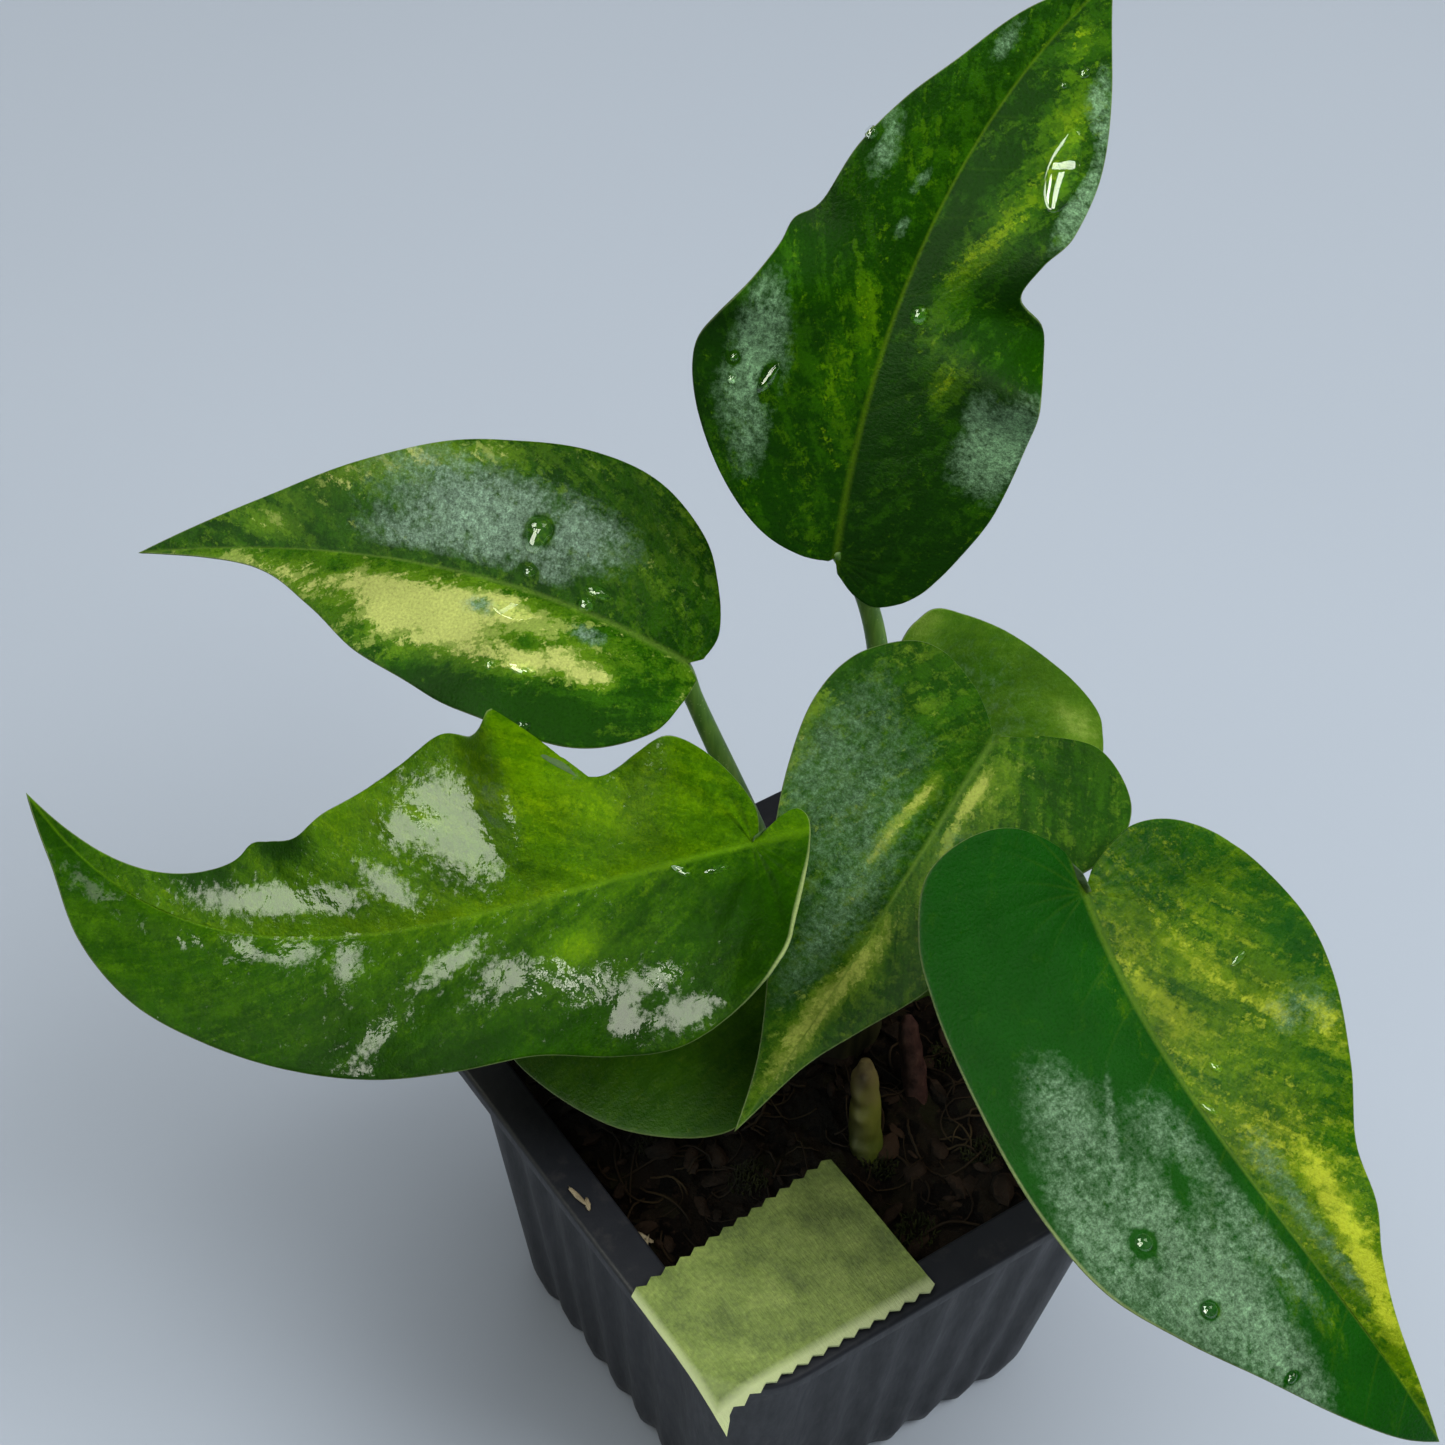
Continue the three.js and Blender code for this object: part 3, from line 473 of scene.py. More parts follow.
def make_piece(name, points, faces, material, slot, stands_for=None, sharp=None):
    """A smooth mesh piece from points in millimetres that rides on the root body."""
    mesh = bpy.data.meshes.new(name)
    mesh.from_pydata((np.asarray(points) * MM).tolist(), [], [list(face) for face in faces])
    mesh.shade_smooth()
    if sharp is not None:
        mesh.set_sharp_from_angle(angle=math.radians(sharp))
    mesh.materials.append(material)
    piece = add_object(name, mesh)
    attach(piece, "root")
    if stands_for:
        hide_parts(stands_for)
    return piece


def to_pot(points):
    """From the plant's own frame to its place in the pot."""
    points = np.asarray(points, float)
    cosine, sine = math.cos(PLANT_TURN), math.sin(PLANT_TURN)
    x = points[..., 0] * cosine - points[..., 1] * sine
    y = points[..., 0] * sine + points[..., 1] * cosine
    return np.stack([x, y, points[..., 2] + POT_HEIGHT], -1)


def unit(vectors):
    return vectors / np.linalg.norm(vectors, axis=-1, keepdims=True)


def lerp(low, high, share):
    return low + (high - low) * share


def mixed(first, second, share):
    """A colour between two others."""
    return tuple(lerp(a, b, share) for a, b in zip(first, second))


def scatter(x, y, seed):
    """A number from 0 to 1 for each whole place."""
    value = np.sin(x * 127.1 + y * 311.7 + seed * 74.7) * 43758.5453
    return value - np.floor(value)


def value_noise(x, y, seed=0):
    """Smooth noise from 0 to 1 over a plane."""
    x, y = np.asarray(x, float), np.asarray(y, float)
    low_x, low_y = np.floor(x), np.floor(y)
    ease_x, ease_y = x - low_x, y - low_y
    ease_x = ease_x * ease_x * (3 - 2 * ease_x)
    ease_y = ease_y * ease_y * (3 - 2 * ease_y)
    near = lerp(scatter(low_x, low_y, seed), scatter(low_x + 1, low_y, seed), ease_x)
    far = lerp(scatter(low_x, low_y + 1, seed), scatter(low_x + 1, low_y + 1, seed), ease_x)
    return lerp(near, far, ease_y)


def catmull_rom(points, count):
    """Evenly spaced points on the spline through the given ones."""
    known = np.asarray(points, float)
    spans = len(known) - 1
    place = np.linspace(0, spans, 40 * spans + 1)
    at = np.minimum(place.astype(int), spans - 1)
    t = (place - at)[:, None]
    before = known[np.maximum(at - 1, 0)]
    start = known[at]
    end = known[at + 1]
    after = known[np.minimum(at + 2, spans)]
    pull_start = (end - before) / 2
    pull_end = (after - start) / 2
    line = ((2 * start - 2 * end + pull_start + pull_end) * t ** 3
            + (-3 * start + 3 * end - 2 * pull_start - pull_end) * t ** 2 + pull_start * t + start)
    run = np.r_[0, np.cumsum(np.linalg.norm(np.diff(line, axis=0), axis=1))]
    wanted = np.linspace(0, run[-1], count)
    return np.stack([np.interp(wanted, run, line[:, axis]) for axis in range(line.shape[1])], -1)


def bezier(points, share):
    a, b, c, d = (np.asarray(point, float) for point in points)
    s = np.asarray(share, float)[..., None]
    return a * (1 - s) ** 3 + 3 * b * s * (1 - s) ** 2 + 3 * c * s ** 2 * (1 - s) + d * s ** 3


def bezier_direction(points, share):
    a, b, c, d = (np.asarray(point, float) for point in points)
    s = np.asarray(share, float)[..., None]
    return unit((b - a) * (1 - s) ** 2 + 2 * (c - b) * s * (1 - s) + (d - c) * s ** 2)


class Blade:
    """A leaf blade as a surface: a flat place becomes a place in space."""

    def __init__(self, name):
        leaf = LEAVES[name]
        self.name = name
        self.leaf = leaf
        self.look = {**LOOK_DEFAULTS, **LOOKS[name]}
        self.seed = list(LEAVES).index(name) + 1
        self.shares = np.linspace(0, 1, 401)
        line = bezier(leaf["midrib"], self.shares)
        self.run = np.r_[0, np.cumsum(np.linalg.norm(np.diff(line, axis=0), axis=1))]
        self.length = self.run[-1]

    def place(self, hand, across, along):
        across, along, hand = np.broadcast_arrays(*(np.asarray(v, float) for v in (across, along, hand)))
        part = np.clip(along / self.length, 0, 1)
        share = np.interp(part * self.length, self.run, self.shares)
        forward = bezier_direction(self.leaf["midrib"], share)
        low, high = (np.asarray(way, float) for way in self.leaf["facing"])
        up = lerp(low, high, part[..., None])
        up = unit(up - (up * forward).sum(-1, keepdims=True) * forward)
        outward = np.cross(up, forward) * hand[..., None]
        arch = self.leaf.get("arch", BLADE_ARCH)
        rise = lerp(*self.leaf["rise"], part)
        slope = rise - arch * across
        lift = (np.cos(slope) - np.cos(rise)) / arch
        for side, at, span, height, reach in self.leaf["waves"]:
            swell = np.exp(-((along - at) / span) ** 2) * np.minimum(across / reach, WAVE_REACH_LIMIT) ** 2
            lift = lift + np.where(hand == side, height * swell, 0)
        side_step = (np.sin(rise) - np.sin(slope)) / arch
        return (bezier(self.leaf["midrib"], share) + forward * np.minimum(along, 0)[..., None]
                + outward * side_step[..., None] + up * lift[..., None])

    def normal(self, hand, across, along):
        """Which way the upper face looks at a flat place."""
        step = 0.05
        sideways = self.place(hand, across + step, along) - self.place(hand, across - step, along)
        forwards = self.place(hand, across, along + step) - self.place(hand, across, along - step)
        return unit(np.cross(forwards, sideways)) * np.asarray(hand, float)[..., None]

    def veins(self, across, along):
        """Side veins: the running number of the nearest ones and the millimetres between them."""
        spacing = self.length / VEIN_PAIRS
        start = along - VEIN_SLOPE * across - VEIN_CURVE * across ** 2
        spread = np.hypot(across, along)
        turn = np.arctan(VEIN_SLOPE + VEIN_CURVE * spread) - np.arctan2(along, np.maximum(across, 0.01))
        number = np.where(start >= 0, start / spacing, -turn / BASAL_VEIN_ANGLE)
        wander = value_noise(along * 0.12 + 20, across * 0.05, self.seed + 3) - 0.5
        number = number + VEIN_WANDER * wander
        gap = np.where(start >= 0, spacing * 0.85, np.minimum(spread * BASAL_VEIN_ANGLE, spacing))
        return number, gap

    def relief(self, hand, across, along, margin):
        """How far the blade's skin stands off its smooth shape: faint vein grooves and uneven swellings."""
        number, gap = self.veins(across, along)
        off_vein = np.abs(number - np.round(number)) * gap
        inside = np.clip(margin / RELIEF_MARGIN_FADE, 0, 1) * np.clip(across / RELIEF_RIB_FADE, 0, 1)
        groove = -GROOVE_DEPTH * np.exp(-(off_vein / GROOVE_HALF_WIDTH) ** 2)
        uneven = value_noise(number * 1.6 + 30, across * 0.16 + hand * 7, self.seed)
        swelling = self.look["pucker"] * (2 * uneven - 0.6 + 0.3 * np.cos(2 * np.pi * number + np.pi))
        side = hand * across
        crinkle = value_noise(side * 0.6 + 50, along * 0.6 + 0.3 * side, self.seed + 9)
        crinkle = crinkle + 0.5 * value_noise(side * 1.3 + 70, along * 1.3 + 90, self.seed + 10) - 0.75
        ridge = RIDGE_HEIGHT * np.exp(-(across / RIDGE_HALF_WIDTH) ** 2)
        ridge = ridge * np.clip(1.1 - along / self.length, 0, 1)
        return inside * (groove + swelling) + self.look["crinkle"] * crinkle + ridge

    def margin(self, hand, across, along):
        """Rough distance to the margin from a flat place."""
        outline = self.leaf["left" if hand > 0 else "right"] + [(0, self.length)]
        edge = catmull_rom(outline, 200)
        return np.hypot(across - edge[:, 0], along - edge[:, 1]).min()

    def pale(self, side, along, patches, ground):
        """Sum of listed patches at signed flat places."""
        amount = np.where(side < 0, ground[0], ground[1]).astype(float)
        for x, y, reach_x, reach_y, lean, strength in patches:
            drift = side - x - lean * (along - y)
            amount = amount + strength * np.exp(-(drift / reach_x) ** 2 - ((along - y) / reach_y) ** 2)
        return amount


def vertex_normals(points, triangles):
    a, b, c = (points[triangles[:, corner]] for corner in range(3))
    faces = np.cross(b - a, c - a)
    normals = np.zeros_like(points)
    for corner in range(3):
        np.add.at(normals, triangles[:, corner], faces)
    return unit(normals)


def row_shares():
    """Where the rows of the grid lie from the midrib to the margin; they crowd at the margin."""
    inner = np.linspace(0, 0.965, BLADE_ROWS - 2)
    return np.r_[inner, 0.98, 0.992, 1]


def blade_grid(blade):
    """Flat places of the blade's mesh (signed across, along, distance to the margin) and its triangles."""
    leaf = blade.leaf
    tip = (0, blade.length)
    left, right = (catmull_rom(leaf[side] + [tip], BLADE_COLUMNS + 1) for side in ("left", "right"))
    start = (left[:, 1] + right[:, 1] - VEIN_LEAN * (left[:, 0] + right[:, 0])) / 2
    station = np.maximum.accumulate(np.maximum(start, 0))
    shares = row_shares()
    places, hands = [], []
    for hand, edge in ((1, left), (-1, right)):
        across = edge[:, :1] * shares
        along = station[:, None] + (edge[:, 1] - station)[:, None] * shares
        margin = np.hypot(edge[:, :1] - across, edge[:, 1:] - along)
        places.append(np.stack([-hand * across, along, margin], -1).reshape(-1, 3))
        hands.append(np.full(across.size, hand))
    places, hands = np.concatenate(places), np.concatenate(hands)
    rows = len(shares)
    near = (np.arange(BLADE_COLUMNS)[:, None] * rows + np.arange(rows - 1)).ravel()
    far = near + rows
    half = np.concatenate([np.stack([near, far, near + 1], -1), np.stack([far, far + 1, near + 1], -1)])
    triangles = np.concatenate([half, half[:, ::-1] + (BLADE_COLUMNS + 1) * rows])
    keys = np.round(places[:, :2] * 1e4).astype(int)
    _, first, merged = np.unique(keys, axis=0, return_index=True, return_inverse=True)
    triangles = merged.ravel()[triangles]
    whole = [triangles[:, a] != triangles[:, b] for a, b in ((0, 1), (1, 2), (2, 0))]
    return places[first], hands[first], triangles[np.all(whole, axis=0)]


def rim_strip(triangles, count):
    """Faces that close the gap between the upper and lower sheets along their open edge."""
    edges = {}
    for a, b, c in triangles.tolist():
        for start, end in ((a, b), (b, c), (c, a)):
            edges[(start, end)] = True
    return [(a, a + count, b + count, b) for a, b in edges if (b, a) not in edges]


def blade_piece(name):
    blade = Blade(name)
    places, hands, triangles = blade_grid(blade)
    side, along, margin = places.T
    across = -hands * side
    middle = blade.place(hands, across, along)
    normals = vertex_normals(middle, triangles)
    middle = middle + normals * blade.relief(hands, across, along, margin)[:, None]
    round_off = np.clip(margin / MARGIN_ROUNDING, 0, 1)
    thick = lerp(MARGIN_HALF_THICKNESS, BLADE_HALF_THICKNESS, np.sqrt(1 - (1 - round_off) ** 2))
    taper = np.clip(1 - along / blade.length, 0, 1)
    rib = lerp(*RIB_DEPTHS, taper) * np.exp(-(across / lerp(*RIB_HALF_WIDTHS, taper)) ** 2)
    rib = rib * np.clip(margin / RIB_MARGIN_FADE, 0, 1)
    upper = middle + normals * thick[:, None]
    lower = middle - normals * (thick + rib)[:, None]
    count = len(places)
    faces = triangles.tolist() + (triangles[:, ::-1] + count).tolist() + rim_strip(triangles, count)
    look = blade.look
    points = to_pot(np.concatenate([upper, lower]))
    material = leaf_material(name, look)
    piece = make_piece(name + "_skin", points, faces, material, look["slot"], name + "_blade")
    paint_fields(piece.data, blade, places, hands)
    return blade


def paint_fields(mesh, blade, places, hands):
    """What the leaf's material reads at each point, first for the upper sheet and then for the lower."""
    side, along, margin = places.T
    across = -hands * side
    look = blade.look
    number, gap = blade.veins(across, along)
    flat = np.column_stack([side, along, np.full(len(side), blade.seed * LEAVES_APART)])
    vein = np.column_stack([number, np.abs(across), gap])
    vector_field(mesh, "flat_place", np.concatenate([flat, flat]))
    vector_field(mesh, "vein_place", np.concatenate([vein, vein]))
    fields = {
        "pale": blade.pale(side, along, look["patches"], look["ground"]),
        # Painted sheen: reflected light painted into the colour of the grey zones, taken away under tall
        # drops.
        "painted_sheen": blade.pale(side, along, look["painted_sheen"] + wet_patches(blade.name), (0, 0)),
        "shine": blade.pale(side, along, look["shine"], (0, 0)),
        "edge": blade.pale(side, along, look["edges"], (EDGE_GROUND, EDGE_GROUND)),
        "margin": margin,
        "tip_share": along / blade.length,
    }
    for name, values in fields.items():
        number_field(mesh, name, np.concatenate([values, values]))
    number_field(mesh, "beneath", np.repeat([0, 1], len(side)))


def wet_patches(name):
    """Patches under the taller drops, where the wet skin loses the painted sheen."""
    patches = []
    for leaf, side, along, half_across, half_along, _, height, _ in DROPS:
        if leaf == name and height > WET_DROP_HEIGHT:
            patches.append((side, along, half_across, half_along, 0, WET_PAINTED_SHEEN))
    return patches


INPUT_NAMES = {
    "color": "Base Color",
    "roughness": "Roughness",
    "normal": "Normal",
    "coat": "Coat Weight",
    "coat_roughness": "Coat Roughness",
    "coat_ior": "Coat IOR",
    "specular": "Specular IOR Level",
    "transmission": "Transmission Weight",
    "ior": "IOR",
}
# Where a colour mix node has its two colours and its result
MIX_FIRST, MIX_SECOND, MIX_RESULT = 6, 7, 2


class Shader:
    """A material's node tree, with short calls for the nodes used here."""

    def __init__(self, name):
        self.material = bpy.data.materials.new(name)
        self.material.use_nodes = True
        self.tree = self.material.node_tree
        self.skin = self.tree.nodes["Principled BSDF"]

    def join(self, value, socket):
        if isinstance(value, bpy.types.NodeSocket):
            self.tree.links.new(value, socket)
        else:
            socket.default_value = value

    def node(self, kind, inputs, output, **settings):
        """An output of a new node whose inputs are joined to sockets or set to values."""
        made = self.tree.nodes.new("ShaderNode" + kind)
        for key, value in settings.items():
            setattr(made, key, value)
        for key, value in inputs.items():
            self.join(value, made.inputs[key])
        return made.outputs[output]

    def field(self, name, vector=False):
        return self.node("Attribute", {}, "Vector" if vector else "Fac", attribute_name=name)

    def place(self):
        """The place on the object, in metres."""
        return self.node("TexCoord", {}, "Object")

    def scaled(self, vector, factors):
        return self.node("Mapping", {"Vector": vector, "Scale": factors}, "Vector")

    def shifted(self, vector, offset):
        return self.node("VectorMath", {0: vector, 1: offset}, 0, operation="ADD")

    def brighten(self, color, factor):
        return self.node("VectorMath", {0: color, "Scale": factor}, 0, operation="SCALE")

    def parts(self, vector):
        return self.node("SeparateXYZ", {0: vector}, slice(0, 3))

    def noise(self, vector, scale, detail=3, rough=0.5, distortion=0):
        shape = {"Scale": scale, "Detail": detail, "Roughness": rough, "Distortion": distortion}
        return self.node("TexNoise", {"Vector": vector, **shape}, "Fac")

    def cells(self, vector, scale, output="Color"):
        return self.node("TexVoronoi", {"Vector": vector, "Scale": scale}, output)

    def math(self, operation, *values):
        return self.node("Math", dict(enumerate(values)), 0, operation=operation)

    def plus(self, first, second):
        return self.math("ADD", first, second)

    def minus(self, first, second):
        return self.math("SUBTRACT", first, second)

    def times(self, first, second):
        return self.math("MULTIPLY", first, second)

    def range(self, value, low, high, to_low=0.0, to_high=1.0):
        return self.node("MapRange", dict(enumerate((value, low, high, to_low, to_high))), 0)

    def bump(self, height, distance, strength=1.0):
        return self.node("Bump", {"Strength": strength, "Distance": distance, "Height": height}, "Normal")

    def ramp(self, value, *stops):
        """Colours along a value; a stop is (place, red, green, blue)."""
        made = self.tree.nodes.new("ShaderNodeValToRGB")
        self.join(value, made.inputs["Fac"])
        elements = made.color_ramp.elements
        while len(elements) < len(stops):
            elements.new(0.5)
        for element, (place, *color) in zip(elements, stops):
            element.position = place
            element.color = (*color, 1)
        return made.outputs["Color"]

    def blend(self, share, first, second):
        """A mix of two colours, each a socket or red, green and blue."""
        inputs = {0: share}
        for key, color in ((MIX_FIRST, first), (MIX_SECOND, second)):
            inputs[key] = color if isinstance(color, bpy.types.NodeSocket) else (*color, 1)
        return self.node("Mix", inputs, MIX_RESULT, data_type="RGBA")

    def finish(self, color, roughness, **others):
        for name, value in {"color": color, "roughness": roughness, **others}.items():
            self.join(value, self.skin.inputs[INPUT_NAMES[name]])
        return self.material


# Streaks of the marbling: how steeply they run forwards, the scales of their noise across and along a streak
# and how far apart the two halves of a leaf lie in it
STREAK_SLOPE = 1.6
STREAK_SCALES = (0.24, 0.13)
HALVES_APART = 7

# Layers of tissue from dark to pale: the paleness at which each sets in and the softness of its border
TISSUE_LEVELS = [(0.26, 0.1), (0.4, 0.09), (0.52, 0.08), (0.64, 0.08), (0.76, 0.07)]
TISSUE_COVER = 0.9
MOTTLE_LIFT = 3.1
NOISE_WEIGHTS = (0.44, 0.42, 0.14)

# Margin line (in part a painted highlight), underside, distance between the leaves in the noise, and what a
# tall drop does to the painted sheen
EDGE_WIDTH = 0.4
EDGE_GROUND = 0.3
EDGE_COLOR = (0.3, 0.38, 0.13)
UNDERSIDE_GREY = (0.24, 0.24, 0.24)
LEAVES_APART = 40
WET_DROP_HEIGHT = 0.3
WET_PAINTED_SHEEN = -4


def streak_place(s, flat):
    """Flat place squeezed so that noise on it makes streaks that run out and forwards from the midrib."""
    side, along, _ = s.parts(flat)
    across = s.math("ABSOLUTE", side)
    forward = s.minus(along, s.times(across, STREAK_SLOPE))
    squeezed = {0: s.times(forward, STREAK_SCALES[0]), 1: s.times(across, STREAK_SCALES[1])}
    return s.node("CombineXYZ", {**squeezed, 2: s.times(s.math("SIGN", side), HALVES_APART)}, 0)


def marbled(s, look, flat):
    """Layers of tissue laid over each other, each with its own ragged patches and streaks."""
    pale = s.field("pale")
    drift = streak_place(s, flat)
    color, middle, light, cream = look["colors"]
    tissues = [middle, mixed(middle, light, 0.45), light, mixed(light, cream, 0.4), cream]
    fine = s.noise(flat, 3.2, detail=4, rough=0.7)
    for number, (tissue, (level, border)) in enumerate(zip(tissues, TISSUE_LEVELS)):
        border = border * look["softness"]
        spot = s.shifted(flat, (17 * number, 9 * number, 0))
        ragged = s.noise(spot, 0.5 + 0.1 * number, detail=8, rough=0.68, distortion=0.35)
        streak = s.noise(s.shifted(drift, (0, 0, 5 * number)), 1.1, detail=7, rough=0.66)
        amount = -0.5
        for layer, weight in zip((ragged, streak, fine), NOISE_WEIGHTS):
            amount = s.plus(amount, s.times(layer, weight))
        lift = s.times(amount, MOTTLE_LIFT * look["mottle"])
        share = s.range(s.plus(pale, lift), level - border, level + border)
        color = s.blend(s.times(share, TISSUE_COVER), color, tissue)
    return color


def with_painted_sheen(s, look, flat, grain, color):
    """Grey zones with a reflected sheen painted into the colour, clouded and specked."""
    clouds = s.noise(flat, 0.55, detail=8, rough=0.7)
    mist = s.noise(flat, 1.1, detail=8, rough=0.72)
    uneven = 1
    for layer, weight in ((grain, 0.9), (clouds, 2.6), (mist, 1.8)):
        uneven = s.plus(uneven, s.times(s.minus(layer, 0.5), weight))
    sheen = s.times(s.field("painted_sheen"), uneven)
    specks = s.noise(flat, 3.4, detail=4, rough=0.85)
    satin = s.brighten(look["satin"], s.range(specks, 0.32, 0.68, 0.35, 1.65))
    # Brighter still where the painted sheen is strongest: a painted highlight.
    satin = s.brighten(satin, s.range(sheen, 1.2, 2.6, 1.0, 1.5))
    satin = s.brighten(satin, s.range(mist, 0.36, 0.64, 0.62, 1.4))
    return s.blend(s.range(sheen, 0.22, 1.05, 0.0, 0.85), color, satin)


def with_veins(s, look, color):
    """Faint paler side veins close to the midrib, and the midrib itself."""
    number, across, gap = s.parts(s.field("vein_place", vector=True))
    off_vein = s.times(s.math("PINGPONG", number, 0.5), gap)
    near_rib = s.range(across, 1.0, 9.0, 0.1, 0.0)
    on_vein = s.times(s.range(off_vein, 0.04, 0.24, 1.0, 0.0), near_rib)
    color = s.blend(on_vein, color, look["colors"][2])
    rib_width = s.range(s.field("tip_share"), 0.0, 0.6, 0.75, 0.3)
    on_rib = s.range(s.math("DIVIDE", across, rib_width), 0.2, 1.1, 0.55, 0.0)
    return s.blend(on_rib, color, look["rib"])


def with_edge(s, color):
    """The thin pale line along the margin: the margin's own paler tissue, and a painted highlight where a
    curled margin catches the light.
    """
    edge = s.field("edge")
    share = s.math("DIVIDE", s.field("margin"), s.times(edge, EDGE_WIDTH))
    on_edge = s.times(s.range(share, 0.3, 1.0, 1.0, 0.0), s.range(edge, 0.2, 1.2, 0.35, 0.95))
    return s.blend(on_edge, color, EDGE_COLOR)


def glossy_coat(s, flat):
    """A glossy coat in broken flakes where the shine patches are."""
    flakes = s.minus(s.noise(flat, 0.9, detail=8, rough=0.75), 0.5)
    gloss = s.plus(s.field("shine"), s.times(flakes, 3.2))
    s.join(s.range(gloss, 0.3, 0.75, 0.0, 0.85), s.skin.inputs["Coat Weight"])
    s.join(s.bump(s.noise(flat, 1.1, detail=2), 0.00008), s.skin.inputs["Coat Normal"])


def leaf_material(name, look):
    """Variegated leaf skin with grey zones of painted sheen, fine grain, a pale midrib and a thin pale edge,
    in part a painted highlight.
    """
    s = Shader(name)
    flat = s.field("flat_place", vector=True)
    grain = s.noise(flat, 2.8, detail=4, rough=0.7)
    color = marbled(s, look, flat)
    color = with_painted_sheen(s, look, flat, grain, color)
    color = with_veins(s, look, color)
    color = with_edge(s, color)
    color = s.brighten(color, s.range(grain, 0.25, 0.75, 1 - look["grain"], 1 + look["grain"]))
    color = s.brighten(color, s.range(s.noise(flat, 0.14, detail=3), 0.3, 0.7, 0.85, 1.15))
    under = mixed(look["colors"][1], UNDERSIDE_GREY, 0.3)
    color = s.blend(s.times(s.field("beneath"), 0.7), color, under)
    roughness = s.range(grain, 0.25, 0.75, look["roughness"] - 0.08, look["roughness"] + 0.1)
    height = s.plus(s.noise(flat, 1.4, detail=3, rough=0.6), s.times(grain, 0.6))
    normal = s.bump(height, 0.00014, 0.8)
    if look["shine"]:
        glossy_coat(s, flat)
    return s.finish(color, roughness, normal=normal, coat=look["coat"], coat_roughness=look["coat_roughness"],
                    specular=look["specular"])


def petiole_material():
    s = Shader("petiole")
    place = s.place()
    stripes = s.noise(s.scaled(place, (900, 900, 90)), 1, detail=3)
    color = s.ramp(stripes, (0.3, 0.05, 0.14, 0.012), (0.55, 0.11, 0.23, 0.025), (0.8, 0.2, 0.32, 0.05))
    specks = s.range(s.cells(place, 1500, "Distance"), 0.1, 0.25, 0.4, 0.0)
    color = s.blend(specks, color, (0.3, 0.4, 0.12))
    normal = s.bump(stripes, 0.0001, 0.5)
    return s.finish(color, s.range(stripes, 0.2, 0.8, 0.34, 0.5), normal=normal, specular=0.25)


def petiole_piece(name, material):
    """A round stalk from the crown to the underside of its blade."""
    leaf = LEAVES[name]
    base, ahead = (np.asarray(point, float) for point in leaf["midrib"][:2])
    forward = unit(ahead - base)
    up = np.asarray(leaf["facing"][0], float)
    up = unit(up - up.dot(forward) * forward)
    root, low_bend, high_bend = leaf["petiole"]
    end = base - up * PETIOLE_END_BELOW_BLADE + forward * PETIOLE_END_PAST_BASE
    curve = [root, low_bend, high_bend, end]
    shares = np.linspace(0, 1, PETIOLE_STEPS + 1)
    radii = lerp(PETIOLE_FOOT_RADIUS, PETIOLE_TOP_RADIUS, shares)
    for at, spread, height in PETIOLE_SWELLINGS:
        radii = radii + height * np.exp(-((shares - at) / spread) ** 2)
    points, faces = tube(bezier(curve, shares), radii, PETIOLE_SIDES)
    make_piece(name + "_stalk", to_pot(points), faces, material, "petiole", name + "_petiole")


def tube(line, radii, sides):
    """A closed round body along a line."""
    line = np.asarray(line, float)
    ahead = unit(np.gradient(line, axis=0))
    side_way = np.cross(ahead[0], (0.31, 0.87, 0.38))
    rings = []
    for centre, way, radius in zip(line, ahead, np.broadcast_to(radii, len(line))):
        side_way = unit(side_way - side_way.dot(way) * way)
        other = np.cross(way, side_way)
        angles = np.arange(sides) / sides * 2 * np.pi
        ring = side_way * np.cos(angles)[:, None] + other * np.sin(angles)[:, None]
        rings.append(centre + ring * radius)
    return np.concatenate(rings + [line[:1], line[-1:]]), stack_faces(len(line), sides)


def stack_faces(rings, sides):
    """Faces of a closed body through rings, whose last two points are the middles of its ends."""
    faces = []
    for ring in range(rings - 1):
        for side in range(sides):
            a = ring * sides + side
            b = ring * sides + (side + 1) % sides
            faces.append((a, b, b + sides, a + sides))
    last = (rings - 1) * sides
    for side in range(sides):
        following = (side + 1) % sides
        faces.append((rings * sides, following, side))
        faces.append((rings * sides + 1, last + side, last + following))
    return faces


def square_ring(height, half_width, corner_radius, depth=0):
    """One level ring of a square with round corners; the straight runs can be fluted inwards."""
    straight = half_width - corner_radius
    quarter = []
    for step in range(SIDE_STEPS):
        along = step / SIDE_STEPS
        inwards = depth * (1 - math.cos(2 * math.pi * FLUTES_PER_SIDE * along)) / 2
        quarter.append((half_width - inwards, straight * (2 * along - 1)))
    for step in range(CORNER_STEPS):
        angle = step / CORNER_STEPS * math.pi / 2
        x = straight + corner_radius * math.cos(angle)
        quarter.append((x, straight + corner_radius * math.sin(angle)))
    quarter = np.array(quarter)
    rings = []
    for turn in range(4):
        angle = turn * math.pi / 2
        cosine, sine = math.cos(angle), math.sin(angle)
        rings.append(quarter @ np.array([[cosine, sine], [-sine, cosine]]))
    flat = np.concatenate(rings)
    return np.column_stack([flat, np.full(len(flat), float(height))])


def pot_material():
    """Dark moulded plastic with a soft sheen, fine scuffs and a little dust."""
    s = Shader("pot_plastic")
    place = s.place()
    cloud = s.noise(place, 60, detail=4)
    scuffs = s.noise(s.scaled(place, (1, 1, 0.15)), 900, detail=4, rough=0.7)
    color = s.ramp(cloud, (0.3, 0.011, 0.012, 0.015), (0.7, 0.021, 0.022, 0.027))
    dust = s.times(s.range(s.noise(place, 260, detail=6, rough=0.7), 0.56, 0.72), 0.12)
    color = s.blend(dust, color, (0.16, 0.14, 0.12))
    normal = s.bump(scuffs, 0.00012, 0.4)
    return s.finish(color, s.range(scuffs, 0.3, 0.7, 0.4, 0.55), normal=normal, specular=0.25)


def rim_edge(half_width, corner_radius, outer):
    """Rings over one rounded edge of the rim, from outside to inside."""
    rings = []
    for turn in np.linspace(0, math.pi / 2, RIM_EDGE_STEPS):
        back = RIM_ROUNDING * (1 - math.cos(turn))
        height = POT_HEIGHT - RIM_ROUNDING * (1 - math.sin(turn))
        width = half_width - back if outer else half_width + back
        rings.append(square_ring(height, width, corner_radius))
    return rings if outer else rings[::-1]


